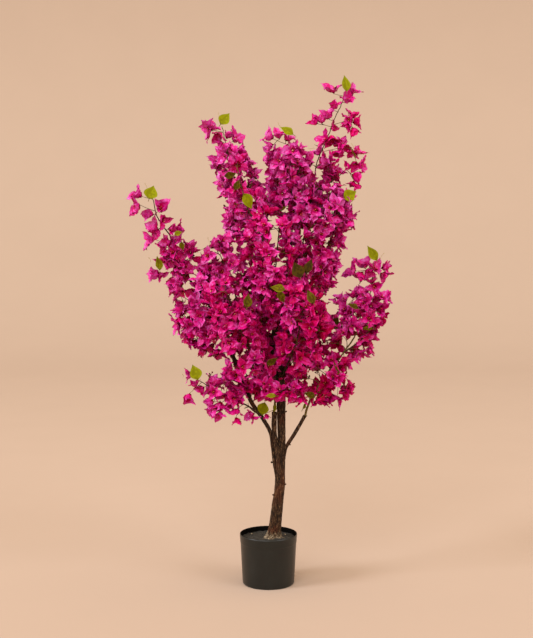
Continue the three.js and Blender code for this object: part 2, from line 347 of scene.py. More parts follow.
def fill_material():
    m, nt, b = nodes_of("fill_cast")
    lumps = noise(nt, mapped(nt, (1.0, 1.0, 1.0)), 160.0, 6.0, 0.6, 0.3)
    specks = nt.nodes.new("ShaderNodeTexVoronoi")
    specks.inputs["Scale"].default_value = 150.0
    nt.links.new(mapped(nt, (1.0, 1.0, 1.0)), specks.inputs["Vector"])
    col = ramp(nt, lumps, [(0.30, srgb(12, 10, 7)), (0.52, srgb(31, 27, 18)), (0.75, srgb(54, 46, 32))])
    dots = ramp(nt, specks.outputs["Distance"], [(0.0, (1, 1, 1, 1)), (0.10, (0, 0, 0, 1))])
    nt.links.new(mix(nt, dots, col, srgb(92, 80, 58)), b.inputs["Base Color"])
    b.inputs["Roughness"].default_value = 0.92
    bump(nt, lumps, 0.8, 0.002, b)
    return m


def cement_material():
    m, nt, b = nodes_of("cement_smear")
    lumps = noise(nt, mapped(nt, (1.0, 1.0, 1.0)), 220.0, 6.0, 0.65, 0.5)
    col = ramp(nt, lumps, [(0.38, srgb(30, 23, 16)), (0.47, srgb(78, 64, 46)),
                           (0.55, srgb(124, 106, 82)), (0.66, srgb(186, 170, 142))])
    nt.links.new(col, b.inputs["Base Color"])
    b.inputs["Roughness"].default_value = 0.9
    bump(nt, lumps, 0.8, 0.002, b)
    return m


MAT_BARK = bark_material()
MAT_POT = pot_material()
# painted shade: a near-black, matte plastic for the inside wall and the rim top, standing for the shade inside the pot
MAT_POT_SHADE = plain("pot_inside_painted_shade", srgb(4, 3, 2), 0.8, 0, 0.05)
MAT_FILL = fill_material()
MAT_CEMENT = cement_material()

# ------------------------------------------------------------ limbs and poles
# Each row is a picture place with a depth, so the limbs lie where they are seen.
LIMBS = {
    "trunk_main": dict(r=[15.5, 13.2, 12.0, 11.4, 11.0, 10.4, 10.0, 9.4, 9.0, 8.2, 7.2], path=path(
        (274.8, 537.5, 3), (276.6, 520, 2), (278.4, 505, 1), (280.4, 486, 0), (280.8, 470, 1), (281.2, 452, 2),
        (281.6, 430, 4), (281.6, 400, 6), (281.8, 376, 8), (279.5, 355, 10), (275, 330, 12))),
    "trunk_left": dict(r=[13.5, 10.8, 9.2, 8.4, 8.0, 7.6, 7.4, 7.4, 7.2], path=path(
        (271.3, 537.5, -4), (272.8, 520, -4), (275.3, 500, -5), (277.8, 483, -6), (278.0, 465, -8), (277.0, 453, -9),
        (274.9, 441, -10), (273.8, 430, -11), (273.7, 411.5, -14))),
    "bough_left": dict(r=[3.6, 4.8, 5.4, 5.8, 6.2, 6.1, 5.8, 5.2, 4.6, 3.6, 3.0, 2.4], path=path(
        (276.2, 478, -4), (274.9, 470, -6), (273.3, 458, -7), (272.1, 446, -7), (269.9, 432, -8), (262.2, 418, -10),
        (250.0, 399.5, -10), (234.6, 361, -4), (224.8, 340.4, 0), (209.3, 305, 2), (189, 279, -4), (182, 262, -10))),
    "bough_right": dict(r=[5.0, 5.4, 5.2, 5.4, 5.2, 5.5], path=path(
        (282.8, 460, 2), (285.2, 448, 1), (289.0, 441.2, -2), (293.3, 434.5, -4), (298.6, 425.6, -6), (304.4, 415.3, -8))),
    "pole_back": dict(r=[8.0, 8.2, 8.0, 7.6, 7.2, 6.6, 6.0], path=path(
        (277.0, 520, 10), (280.0, 486, 12), (280.4, 455, 13), (279.6, 430, 16), (278.4, 400, 22), (276.0, 372, 26), (271.5, 345, 30))),
}


def interp_r(radii, n):
    return np.interp(np.linspace(0, 1, n), np.linspace(0, 1, len(radii)), radii)


def barked(pile, points, radii, sides, seed, relief, step=1.6, knots=6, cut=True, flare=0.0):
    """A pole with long furrows, small knots and, on a cut end, a flat face."""
    r0 = np.random.default_rng(seed)
    p = smooth_path(points, step)
    r = interp_r(radii, len(p))
    t, a, b = frames(p)
    s = np.linspace(0, np.linalg.norm(np.diff(p, axis=0), axis=1).sum(), len(p))
    ang = np.arange(sides) * 2 * math.pi / sides
    S, A = np.meshgrid(s, ang, indexing="ij")
    h = np.zeros_like(S)
    for _ in range(26):
        k = r0.integers(2, 13)
        wl = r0.uniform(18, 120)
        h += np.cos(k * A + 2 * math.pi * S / wl * r0.choice([-1, 1]) * 0.6 + r0.uniform(0, 6.28)) / math.sqrt(k)
    fine = np.zeros_like(S)
    for _ in range(16):
        k = r0.integers(9, 22)
        wl = r0.uniform(6, 26)
        fine += np.cos(k * A + 2 * math.pi * S / wl + r0.uniform(0, 6.28))
    h = relief * (0.24 * h + 0.07 * fine)
    h = np.where(h < 0, h * 1.5, h)
    for _ in range(knots):
        ks, ka = r0.uniform(0.04, 0.96) * s[-1], r0.uniform(0, 2 * math.pi)
        kr = r0.uniform(2.0, 4.2)
        da = np.angle(np.exp(1j * (A - ka))) * np.mean(r)
        d2 = (da ** 2 + (S - ks) ** 2 * 0.6) / kr ** 2
        h += relief * (1.9 * np.exp(-d2) - 1.2 * np.exp(-d2 * 5))
    if flare:
        lobes = 1 + 0.22 * np.cos(3 * A + 0.7) + 0.12 * np.cos(5 * A + 2.1)
        h += flare * np.exp(-S / 11.0) * lobes
    rr = r[:, None] + h
    ring = np.cos(A)[..., None] * a[:, None] + np.sin(A)[..., None] * b[:, None]
    v = p[:, None] + ring * rr[..., None]
    rows = [v]
    if cut:      # a slightly domed, rough sawn face
        for f, lift in ((0.80, 0.5), (0.45, 0.7), (0.03, 0.7)):
            rows.append((p[-1] + (v[-1] - p[-1]) * f + t[-1] * lift)[None])
    v = np.vstack(rows)
    i = np.arange(len(v) - 1)[:, None] * sides
    j = np.arange(sides)[None, :]
    k = (j + 1) % sides
    q = np.stack([i + j, i + k, i + sides + k, i + sides + j], -1).reshape(-1, 4)
    pile.add(v.reshape(-1, 3), q, 0)
    return p


wood = {}
for name, sides, relief, knots, flare in (("trunk_main", 56, 1.0, 12, 8.0), ("trunk_left", 44, 0.9, 8, 7.0),
                                          ("bough_left", 30, 0.7, 7, 0), ("bough_right", 28, 0.6, 5, 0),
                                          ("pole_back", 36, 0.8, 6, 3.0)):
    pile = Pile()
    L = LIMBS[name]
    barked(pile, L["path"], L["r"], sides, 31 + len(name) * 7 + sides, relief, knots=knots, flare=flare)
    wood[name] = pile

# a short split strip of bark that fills the fork, and stubs where side twigs were cut
fork = Pile()
barked(fork, path((276.6, 500, -3), (278.6, 478, -3), (279.6, 462, -3), (279.2, 450, -3), (278.2, 438, -3)),
       [9.5, 11.0, 11.0, 9.5, 4.5], 36, 77, 1.1, knots=5)
STUBS = [((272.0, 461.6, -6), (270.6, 462.2, -6), 3.4), ((284.4, 411.5, 3), (286.2, 410.8, 2), 2.8),
         ((283.6, 484.2, -4), (285.6, 483.6, -5), 2.8), ((288.6, 443.6, -2), (290.0, 444.4, -3), 2.6),
         ((278.0, 467, -14), (278.3, 466.4, -17), 3.0), ((273.8, 494.5, -12), (272.2, 494.3, -14), 2.6),
         ((280.0, 455.5, -10), (280.6, 454.5, -14), 3.0)]
for k, (a, b, r) in enumerate(STUBS):
    barked(fork, path(a, b), [r, r * 0.8], 16, 500 + k, 0.35, step=0.8, knots=0)

# --------------------------------------------------------------- the florets
S_ROW = np.array([0.0, 0.10, 0.22, 0.36, 0.50, 0.64, 0.77, 0.89, 1.0])
W_ROW = np.array([0.20, 0.58, 0.91, 1.0, 0.95, 0.80, 0.55, 0.26, 0.012])
U_COL = np.array([-1.0, -0.72, -0.36, 0.0, 0.36, 0.72, 1.0])


FINE = (S_ROW, W_ROW, U_COL)
SMALL = (np.array([0.0, 0.24, 0.5, 0.78, 1.0]), np.array([0.24, 0.86, 1.0, 0.60, 0.02]), np.array([-1.0, -0.36, 0.36, 1.0]))


def bract(length, width, angles, cup, twist, swerve, ripple, seed, grid=FINE):
    """One bract from the floret's axis outwards. angles are its tilt from the
    axis, in degrees, from base to tip."""
    S_ROW, W_ROW, U_COL = grid
    r0 = np.random.default_rng(seed)
    th = np.radians(np.interp(S_ROW, np.linspace(0, 1, len(angles)), angles))
    ds = np.diff(S_ROW, prepend=0) * length
    thm = np.r_[th[0], (th[1:] + th[:-1]) / 2]
    x = 1.2 + np.cumsum(ds * np.sin(thm))
    z = np.cumsum(ds * np.cos(thm))
    n = np.stack([-np.cos(th), np.sin(th)], 1)
    tail = r0.uniform(0.95, 1.75)                     # how drawn out the point is
    w = width / 2 * np.where(S_ROW > 0.55, W_ROW ** tail * 0.85 ** (1 - tail), W_ROW)
    w = w * (1 + r0.uniform(0.06, 0.15) * np.sin(S_ROW * r0.uniform(9, 18) + r0.uniform(0, 6.28)))
    rho = np.interp(S_ROW, [0, .5, 1], [cup * 0.75, cup, cup * 2.2])
    U = U_COL[None, :]
    S = S_ROW[:, None]
    full = W_ROW[:, None] ** 0.5
    arc = (w / rho)[:, None] * U
    lat = rho[:, None] * np.sin(arc)
    inw = rho[:, None] * (1 - np.cos(arc))
    # pressed along the middle, so the halves catch the light apart
    keel = r0.uniform(-1.2, 4.2)
    inw = inw + keel * (np.abs(U) ** 0.85 - 0.5) * full
    # frilled margins, and the soft creases of pressed cloth
    inw = inw + ripple * np.sin(2 * math.pi * r0.uniform(1.3, 2.2) * S + r0.uniform(0, 6.28) + U * r0.uniform(-2, 2)) * U ** 2
    inw = inw + 1.0 * np.sin(S * r0.uniform(8, 14) + U * r0.uniform(2.0, 5.0) + r0.uniform(0, 6.28))
    inw = inw + r0.uniform(0.3, 1.1) * np.cos(U * r0.uniform(3.5, 6.0) + S * r0.uniform(-3, 3) + r0.uniform(0, 6.28)) * full
    inw = inw + r0.normal(0, 0.92, inw.shape) * np.minimum(1, W_ROW[:, None] * 2)
    tw = np.radians(twist) * S ** 1.5
    lat, inw = lat * np.cos(tw) - inw * np.sin(tw), lat * np.sin(tw) + inw * np.cos(tw)
    lat = lat + swerve * S ** 2
    P = np.stack([x[:, None] + n[:, :1] * inw, lat, z[:, None] + n[:, 1:] * inw], -1)
    return P


def floret_variant(seed):
    """Vertices and quads of one floret in its own frame, axis +Z, base at 0, and
    for each face its bract, how far along that it is, and where across."""
    r0 = np.random.default_rng(seed)
    openness = [0.25, 0.55, 0.8, 1.0, 1.2, 0.4, 0.9, 0.65, 1.1, 0.3, 0.75, 0.5, 0.85, 1.15][seed % 14]
    V, Q, B, S, U, n = [], [], [], [], [], 0
    turn = r0.uniform(0, 120)
    for k in range(5):
        inner = k > 2
        o = (openness if not inner else openness * 0.75 - 0.1) + r0.normal(0, 0.20)
        ang = [44 + 20 * o, 20 + 38 * o, 20 + 46 * o, 30 + 50 * o, 52 + 50 * o + r0.uniform(-28, 28)]
        long = r0.uniform(29, 38) if not inner else r0.uniform(20, 28)
        grid = SMALL if inner else FINE
        P = bract(long, long * r0.uniform(0.60, 0.78), ang, r0.uniform(12, 22.0),
                  r0.uniform(-45, 45), r0.uniform(-7, 7), r0.uniform(1.4, 3.0), int(r0.integers(1e9)), grid)
        c = math.radians((120 * k + r0.uniform(-18, 18)) if not inner else (120 * (k - 3) + turn + r0.uniform(-25, 25)))
        R = np.array([[math.cos(c), -math.sin(c), 0], [math.sin(c), math.cos(c), 0], [0, 0, 1]])
        V.append(P.reshape(-1, 3) @ R.T)
        nr, nc = len(grid[0]) - 1, len(grid[2]) - 1
        Q.append(grid_quads(nr + 1, nc + 1) + n)
        B.append(np.full(nr * nc, k))
        S.append(np.repeat(grid[0][:-1], nc))
        U.append(np.tile((grid[2][:-1] + grid[2][1:]) / 2, nr))
        n += V[-1].shape[0]
    return np.vstack(V), np.vstack(Q), np.concatenate(B), np.concatenate(S), np.concatenate(U)


VARIANTS = [floret_variant(112 + s) for s in range(14)]


def rod_mesh(p, r, sides=4):
    pl = Pile()
    tube(pl, p, r, sides, 0)
    return pl.v[0], pl.f[0]


def centre_variant(seed):
    """Three little tubes, dark red with a cream mouth."""
    r0 = np.random.default_rng(seed)
    V, Q, M, n = [], [], [], 0
    for k in range(3):
        c = 2 * math.pi * (k / 3 + 0.16) + r0.uniform(-0.3, 0.3)
        d = np.array([math.cos(c), math.sin(c), 0])
        h = r0.uniform(7, 13)
        v, q = rod_mesh(np.array([d * 1.0 + [0, 0, 1.0], d * 2.6 + [0, 0, h * 0.72], d * 3.2 + [0, 0, h]]),
                        [0.8, 1.0, 1.7 if k == 0 else 1.3], 4)
        V.append(v); Q.append(q + n); n += len(v)
        M.append(np.array([0] * 4 + [0] * 4 + [1 if k else (2 if seed == 0 else 1)] * 4))
    return np.vstack(V), np.vstack(Q), np.concatenate(M)


CENTRES = [centre_variant(s) for s in range(4)]


def basis(axis, spin):
    """Rotations that turn +Z to axis, after a spin about it. Arrays."""
    z = unit(axis)
    ref = np.where(np.abs(z[:, 2:3]) < 0.95, np.array([[0, 0, 1.0]]), np.array([[1.0, 0, 0]]))
    x = unit(np.cross(ref, z))
    y = np.cross(z, x)
    c, s = np.cos(spin)[:, None], np.sin(spin)[:, None]
    return np.stack([x * c + y * s, -x * s + y * c, z], -1)      # columns


# ------------------------------------------------------------ foliage masses
# name: foot, tip (picture place and depth), half width in pixels, half depth in
# mm, belly, spacing between clusters, shade (0 dark to 4 pale). The shade is partly the spray's
# own tone and partly painted light: the upper sprays below the crest are set paler and the
# centre, front and low masses darker, as the light falls on the crown.
MASSES = [
    ("low_front_spray", (264, 395, -105), (300, 388, -105), 10, 30, .5, 40, 1.7),
    ("drooping_spray", (250, 405, -30), (184, 383, -70), 19, 44, .5, 43, 2.7),
    ("drooping_leaf_spray", (215, 392, -60), (184, 372, -80), 10, 28, .5, 38, 3.0),
    ("drooping_under_spray", (262, 412, -55), (232, 422, -60), 7, 22, .5, 38, 2.0),
    ("low_left_mass", (264, 402, -40), (240, 362, -50), 27, 76, .5, 47, 2.1),
    ("low_right_mass", (294, 390, -20), (343, 374, -30), 26, 80, .5, 44, 1.3),
    ("low_centre_mass", (290, 384, 50), (282, 352, 70), 20, 50, .5, 52, 0.9),
    ("low_back_mass", (280, 392, 110), (276, 340, 150), 34, 80, .5, 46, 1.2),
    ("left_mass", (228, 354, 10), (186, 266, -10), 31, 90, .5, 39, 2.4),
    ("centre_mass", (262, 362, -10), (256, 258, -20), 32, 95, .5, 42, 1.6),
    ("right_mass", (300, 362, 10), (308, 258, 0), 28, 95, .5, 42, 1.8),
    ("front_left_mass", (246, 364, -110), (222, 285, -190), 30, 66, .5, 38, 1.6),
    ("front_right_mass", (298, 368, -110), (304, 285, -190), 28, 66, .5, 40, 1.5),
    ("front_upper_mass", (272, 300, -120), (266, 215, -150), 29, 66, .5, 42, 1.9),
    ("back_left_mass", (246, 352, 120), (214, 272, 190), 32, 70, .5, 44, 2.0),
    ("back_right_mass", (300, 356, 120), (312, 272, 190), 31, 70, .5, 44, 1.8),
    ("back_upper_mass", (272, 290, 110), (280, 205, 150), 30, 66, .5, 44, 2.2),
    ("left_spray", (179, 286, -15), (147, 186, -50), 24, 52, .42, 37, 2.8),
    ("left_outer_spray", (150, 214, -50), (126, 200, -55), 9, 26, .5, 38, 2.8),
    ("left_mid_spray", (238, 278, -50), (204, 238, -70), 21, 50, .5, 40, 2.7),
    ("right_arm_mass", (326, 358, -10), (379, 292, -20), 27, 62, .5, 42, 2.0),
    ("right_tip_spray", (346, 276, -10), (394, 270, -20), 14, 36, .5, 38, 2.2),
    ("upper_left_mass", (262, 268, 0), (240, 186, -10), 28, 80, .5, 42, 2.8),
    ("upper_right_mass", (308, 276, 0), (322, 184, 0), 33, 84, .5, 40, 2.6),
    ("upper_left_spray", (250, 216, 10), (212, 116, -10), 21, 48, .42, 40, 2.9),
    ("upper_mid_spray", (296, 216, 20), (282, 128, 10), 25, 58, .5, 40, 3.1),
    ("front_top_spray", (246, 214, -92), (236, 164, -152), 17, 40, .5, 48, 2.8),
    ("back_top_spray", (288, 214, 92), (286, 152, 182), 19, 44, .5, 40, 2.8),
    ("right_shoulder_spray", (318, 228, -10), (362, 194, -20), 17, 44, .5, 41, 2.9),
    ("crest_foot_spray", (314, 196, 0), (326, 140, 0), 13, 36, .5, 40, 2.7),
    ("crest_spray", (328, 150, 0), (343, 74, 0), 15, 36, .42, 40, 1.9),
    ("crest_inner_spray", (334, 112, -10), (308, 120, -15), 8, 24, .5, 40, 2.0),
    ("crest_outer_spray", (354, 142, -20), (352, 92, -20), 11, 30, .5, 40, 1.9),
    ("crest_side_spray", (326, 192, -20), (366, 148, -30), 15, 36, .5, 40, 2.0),
]
BLUNT = 0.72


class Mass:
    def __init__(self, row):
        self.name, f, t, g, self.deep, belly, self.gap, self.tone_and_light = row
        self.gap *= 0.955
        self.foot, self.tip = seen(*f), seen(*t)
        px = abs(seen(f[0] + 1, f[1], (f[2] + t[2]) / 2)[0] - seen(f[0], f[1], (f[2] + t[2]) / 2)[0])
        self.girth = g * px
        x = np.linspace(0.02, 0.98, 25)
        self.t = x ** (math.log(belly) / math.log(0.5))
        self.spine = self.foot + (self.tip - self.foot) * self.t[:, None]
        self.ring = (1 - (2 * x - 1) ** 2) ** (BLUNT / 2)

    def depth(self, p):
        """How far inside, in mm; below 0 is outside."""
        d = p[:, None] - self.spine[None]
        q = np.sqrt((d[..., 0] ** 2 + d[..., 2] ** 2) / self.girth ** 2 + d[..., 1] ** 2 / self.deep ** 2)
        return ((self.ring - q) * min(self.girth, self.deep)).max(1)


masses = [Mass(r) for r in MASSES]
by_name = {m.name: m for m in masses}
EXPLICIT = {"crest_spray", "crest_inner_spray", "crest_outer_spray", "crest_side_spray",
            "left_outer_spray", "drooping_leaf_spray", "drooping_under_spray", "right_tip_spray", "low_front_spray"}


def union_depth(p):
    out = np.full(len(p), -1e9)
    for m in masses:
        out = np.maximum(out, m.depth(p))
    return out


# Sight gaps: narrow tunnels through the crown, where the backdrop shows, and
# the notches of its outline. Picture place, half width and half height in pixels.
GAPS = [(273.9, 238.4, 5, 14), (271, 219.6, 4, 4.5), (344.7, 179.7, 4, 6), (321, 176, 5, 7), (318, 172, 3, 5), (281, 262, 4, 5),
        (226.7, 354.3, 2.5, 4), (281.6, 144, 5, 3.5), (317.5, 341, 2.5, 3), (231.5, 275, 3, 4.5), (246.2, 400, 3, 8),
        (325.6, 154, 3, 3), (216.5, 343.2, 3.5, 3), (190.4, 280, 3, 4), (236.2, 356, 3, 3), (240.8, 177, 2.5, 4),
        (187, 299, 2.5, 4), (330.8, 313, 3, 2), (245.9, 264.5, 2.5, 3.5), (231.2, 298.2, 3, 3), (225.3, 142.2, 2, 3),
        (327.6, 235.3, 2.5, 3), (373.4, 306.7, 2, 2), (311.3, 371.8, 2, 3), (228.9, 197, 2.5, 2), (243.6, 350.7, 1.5, 3.5),
        (350, 302, 2.5, 2), (282.9, 211.5, 2, 2), (277.9, 218, 1, 3), (249.3, 346, 2, 2), (293.2, 231, 1.5, 1.5), (243, 246, 2, 1.5),
        (232.7, 382.6, 2, 1.5), (207.6, 307, 2, 2), (257.2, 261.3, 1, 2.5), (253.5, 305, 2, 1), (323, 292.6, 1, 1.5), (303.6, 380, 1, 2),
        (239, 294, 2, 1), (193, 263, 1.5, 1.5), (336.4, 387.7, 1.5, 1), (261, 178, 3, 15), (262, 150, 3, 14), (197, 236, 7, 10),
        (201, 249, 3, 7), (346, 283, 8, 8), (344, 252, 2, 8), (203, 362, 14, 7), (253, 405, 5, 7), (256, 412, 6, 8), (276, 409, 3, 7),
        (208, 232, 10, 8), (217, 216, 6, 14), (352, 240, 6, 10), (334, 289, 4, 5), (166, 272.5, 3, 1.5), (163, 300, 9, 10), (329, 300, 4, 5), (354, 372, 6, 8), (153, 256, 5, 9)]


def picture(p):
    """Picture places of points in mm."""
    q = np.asarray(p, float) - np.array([CAM_X, -CAM_D, CAM_H])
    z = q[:, 1] * math.cos(PITCH) - q[:, 2] * math.sin(PITCH)
    up = q[:, 1] * math.sin(PITCH) + q[:, 2] * math.cos(PITCH)
    return np.stack([PIC_W / 2 + FOCAL * q[:, 0] / z, PIC_H / 2 - FOCAL * up / z], 1)


def in_gap(p, grow):
    uv = picture(p)
    hit = np.zeros(len(p), bool)
    for u, v, a, b in GAPS:
        hit |= ((uv[:, 0] - u) / (a + grow)) ** 2 + ((uv[:, 1] - v) / (b + grow)) ** 2 < 1
    return hit


# --------------------------------------------------------------- the skeleton
# Points that twigs may grow from: the poles' upper parts and the canes.
CANES = {
    "left": path((182, 262, -10), (176, 250, -14), (169.3, 234.5, -18), (157.7, 218.4, -28), (152.6, 199.6, -40), (151, 193, -44)),
    "left_low": path((209.3, 305, 2), (196, 316, -12), (186, 326, -20)),
    "left_mid": path((240, 330, -5), (236, 300, -24), (226, 268, -44), (214, 246, -58)),
    "upper_left": path((270, 318, 8), (262, 280, 4), (254, 240, 2), (246, 208, 2), (238.3, 191.8, 0), (229, 158, -4), (221.4, 126, -8)),
    "upper_left_b": path((254, 240, 2), (250, 215, -8), (247, 200, -20)),
    "upper_mid": path((272, 320, 10), (284, 280, 12), (291, 240, 16), (292, 205, 18), (290, 178, 14), (289.7, 150, 10), (288.0, 134.7, 8)),
    "upper_mid_b": path((292, 205, 18), (296, 180, 2), (301, 160, -6)),
    "crest": path((276, 330, 12), (290, 290, 8), (303, 240, 4), (310, 205, 2), (313.2, 184, 0), (316.2, 163.3, 0), (322.3, 148, 0),
                  (328.5, 133.5, 0), (333.8, 119, 0), (340, 106, 0), (343.8, 96, 0), (345.0, 90, 0)),
    "crest_side": path((310, 205, 2), (314, 191, -4), (326, 184.8, -12), (345.3, 169.5, -20), (352.5, 160.8, -22)),
    "shoulder": path((303, 240, 4), (322, 222, -4), (338, 212, -12), (350, 200, -16)),
    "right": path((304.4, 415.3, -8), (308, 404, -9), (313.5, 393.5, -10), (322.4, 378.6, -12), (343.4, 351.8, -14), (356.8, 330.8, -14),
                  (368, 300, -14), (371, 282, -14), (373, 262, -14)),
    "right_arm_b": path((343.4, 351.8, -14), (360, 340, -30), (372, 326, -34)),
    "right_low": path((313.5, 393.5, -10), (328, 384, -24), (344, 376, -30)),
    "right_mid": path((277, 345, 10), (296, 322, -8), (304, 290, -16), (306, 262, -12)),
    "mid_plug": path((273.8, 413, -14), (274.6, 400, -18), (274, 385, -24), (268, 360, -34), (262, 330, -40), (258, 295, -44), (256, 265, -40)),
    "droop": path((256.2, 412.4, -12), (248.7, 406.4, -18), (238, 400.5, -28), (222, 394, -40), (207, 385, -54), (196, 379, -64)),
    "low_left": path((250, 399.5, -10), (250, 386, -30), (244, 370, -46), (240, 362, -50)),
    "front_left": path((262, 372, -30), (250, 350, -90), (236, 320, -130), (226, 292, -160)),
    "front_right": path((281.8, 376, 6), (292, 352, -80), (300, 325, -130), (304, 292, -165)),
    "front_up": path((270, 330, 0), (270, 298, -80), (268, 260, -118), (266, 225, -130)),
    "back_left": path((276, 372, 26), (258, 345, 90), (232, 310, 140), (218, 280, 165)),
    "back_right": path((276, 372, 26), (292, 350, 90), (304, 310, 140), (310, 280, 165)),
    "back_up": path((272, 340, 30), (272, 300, 90), (276, 260, 120), (280, 215, 130), (286, 185, 150), (286, 160, 170)),
    "front_top": path((268, 260, -118), (258, 228, -105), (246, 205, -100), (238, 172, -135)),
    "low_back": path((278.4, 400, 22), (278, 388, 70), (277, 365, 120), (276, 348, 140)),
    "low_front": path((274.6, 402, -18), (276, 396, -60), (286, 391, -92)),
}
skeleton_p, skeleton_t, skeleton_c = [], [], []


def grow_from(points, cane):
    t = unit(np.gradient(points, axis=0))
    skeleton_p.append(points); skeleton_t.append(t); skeleton_c.append(np.full(len(points), cane))


stems = Pile()
for ci, (cname, pts) in enumerate(CANES.items()):
    p = smooth_path(pts, 6.0)
    r_start = 3.4 if cname in ("right", "mid_plug") else 2.6
    if cname in ("crest_side", "upper_left_b", "upper_mid_b", "left_low", "shoulder"):
        r_start = 2.0
    r = np.interp(np.linspace(0, 1, len(p)), [0, 0.25, 1], [r_start, r_start * 0.85, 1.0])
    wob = rng.normal(0, 0.5, p.shape)
    wob[[0, -1]] = 0
    p = p + wob
    mats = OLIVE if cname in ("right", "mid_plug") else BROWN
    tube(stems, p, r, 6, mats)
    skip = 2 if cname in ("right", "mid_plug", "droop") else 0
    grow_from(p[skip:], ci)
for lname in ("bough_left",):
    p = smooth_path(LIMBS[lname]["path"], 6.0)
    grow_from(p[int(len(p) * 0.55):], 100)

# ------------------------------------------------------------------ clusters
# A spray's own upper limit in the picture, where its florets are set one by one.
TOP_AT = {"left_spray": 282, "upper_left_spray": 150, "crest_foot_spray": 158, "upper_mid_spray": 150, "right_shoulder_spray": 200}
RIGHT_OF = {"drooping_spray": 208}
LEFT_OF = {"drooping_spray": 236, "right_shoulder_spray": 346, "upper_right_mass": 336, "right_tip_spray": 384}
FOOT_AT = {"low_left_mass": 394, "low_right_mass": 395, "low_front_spray": 394, "low_centre_mass": 392, "low_back_mass": 392}
centres, c_mass, c_tone_and_light = np.zeros((0, 3)), [], []
for mi, m in enumerate(masses):
    if m.name in EXPLICIT:
        continue
    lo = np.minimum(m.foot, m.tip) - [m.girth, m.deep, m.girth]
    hi = np.maximum(m.foot, m.tip) + [m.girth, m.deep, m.girth]
    cand = rng.uniform(lo, hi, (7000, 3))
    cand = cand[m.depth(cand) > 4]
    both = np.sort(np.stack([k.depth(cand) for k in masses], 1), 1)
    ud = both[:, -1] + 0.6 * np.clip(both[:, -2] + 18, 0, 30)
    inset = min(22.0, 0.34 * min(m.girth, m.deep))
    keep = ud > inset
    keep &= ~((ud > 66) & (rng.random(len(cand)) < 0.9))
    keep &= ~in_gap(cand, 3.4)
    if m.name in RIGHT_OF:
        keep &= picture(cand)[:, 0] > RIGHT_OF[m.name]
    if m.name in LEFT_OF:
        keep &= picture(cand)[:, 0] < LEFT_OF[m.name]
    if m.name in FOOT_AT:
        keep &= picture(cand)[:, 1] < FOOT_AT[m.name]
    if m.name in TOP_AT:
        keep &= picture(cand)[:, 1] > TOP_AT[m.name]
    cand = cand[keep]
    fresh = []
    for c in cand:
        if len(centres) and (np.abs(centres - c).max(1) < m.gap).any() and np.linalg.norm(centres - c, axis=1).min() < m.gap:
            continue
        centres = np.vstack([centres, c[None]])
        c_mass.append(mi)
        c_tone_and_light.append(m.tone_and_light + rng.normal(0, 0.35))
c_mass = np.array(c_mass)
c_tone_and_light = np.array(c_tone_and_light)
c_deep = union_depth(centres)
step = np.eye(3) * 6.0
c_out = np.stack([union_depth(centres - step[k]) - union_depth(centres + step[k]) for k in range(3)], 1)
c_out = unit(c_out + 1e-6)
print("clusters", len(centres))

# Each cluster's side stem grows on from the nearest stem that lies below it.
order = np.argsort([np.min(np.linalg.norm(np.vstack(skeleton_p) - c, axis=1)) for c in centres])
f_base, f_axis, f_tone_and_light, f_size = [], [], [], []


def side_stem(start, t0, end, r0, r1, mat, sag=0.12):
    d = end - start
    L = np.linalg.norm(d)
    mid = start + t0 * L * 0.35 + d * 0.25 + np.array([0, 0, -sag * L * 0.3])
    k = np.linspace(0, 1, max(3, int(L / 14) + 2))[:, None]
    p = (1 - k) ** 2 * start + 2 * k * (1 - k) * mid + k ** 2 * end
    tube(stems, p, np.linspace(r0, r1, len(p)), 4, mat)
    return p


def pedicel(start, base, axis, size):
    """A floret's stalk, widening to the small dark cup below the bracts."""
    d = base - start
    p = np.array([start, start + d * 0.5 + [0, 0, -0.8], base - axis * 2.6, base - axis * 0.4, base + axis * 2.4])
    tube(stems, p, [0.62, 0.55, 0.8, 2.1 * size, 2.6 * size], 4, PEDICEL_M)


PEDICEL_M = np.repeat([OLIVE, OLIVE, CALYX, CALYX, CALYX], 4)
crown_axis = seen(268, 330, 0)[:2]
for ci in order:
    c = centres[ci]
    P, T = np.vstack(skeleton_p), np.vstack(skeleton_t)
    d = c - P
    L = np.linalg.norm(d, axis=1)
    cost = L * (1.35 - 0.35 * (d * T).sum(1) / (L + 1e-6)) + 0.5 * np.maximum(0, P[:, 2] - c[2] + 0.2 * L)
    k = int(np.argmin(cost))
    p = side_stem(P[k], T[k], c, 1.2, 0.8, BROWN if rng.random() < 0.5 else OLIVE)
    grow_from(p[1:], 200)
    rim = 1.0 if c_deep[ci] < 45 else 0.35
    out = unit(0.6 * unit(p[-1] - p[-2]) + rim * c_out[ci] + [0, 0, 0.32])
    n = int(rng.choice([2, 3, 4], p=[0.15, 0.5, 0.35]))
    spin0 = rng.uniform(0, 6.28)
    x = unit(np.cross(out, [0.3, 0.2, 1.0])); y = np.cross(out, x)
    for j in range(n):
        a = spin0 + 2 * math.pi * j / n + rng.normal(0, 0.35)
        spread = rng.uniform(0.5, 1.35)
        dirn = unit(out + spread * (math.cos(a) * x + math.sin(a) * y) + rng.normal(0, 0.18, 3))
        b = c + dirn * rng.uniform(7, 17)
        ax = unit(dirn + rng.normal(0, 0.32, 3) + [0, 0, 0.10])
        pedicel(c, b, ax, 1.0)
        f_base.append(b)
        f_axis.append(ax)
        f_tone_and_light.append(c_tone_and_light[ci] + rng.normal(0, 0.22))
        f_size.append(rng.uniform(0.86, 1.14))
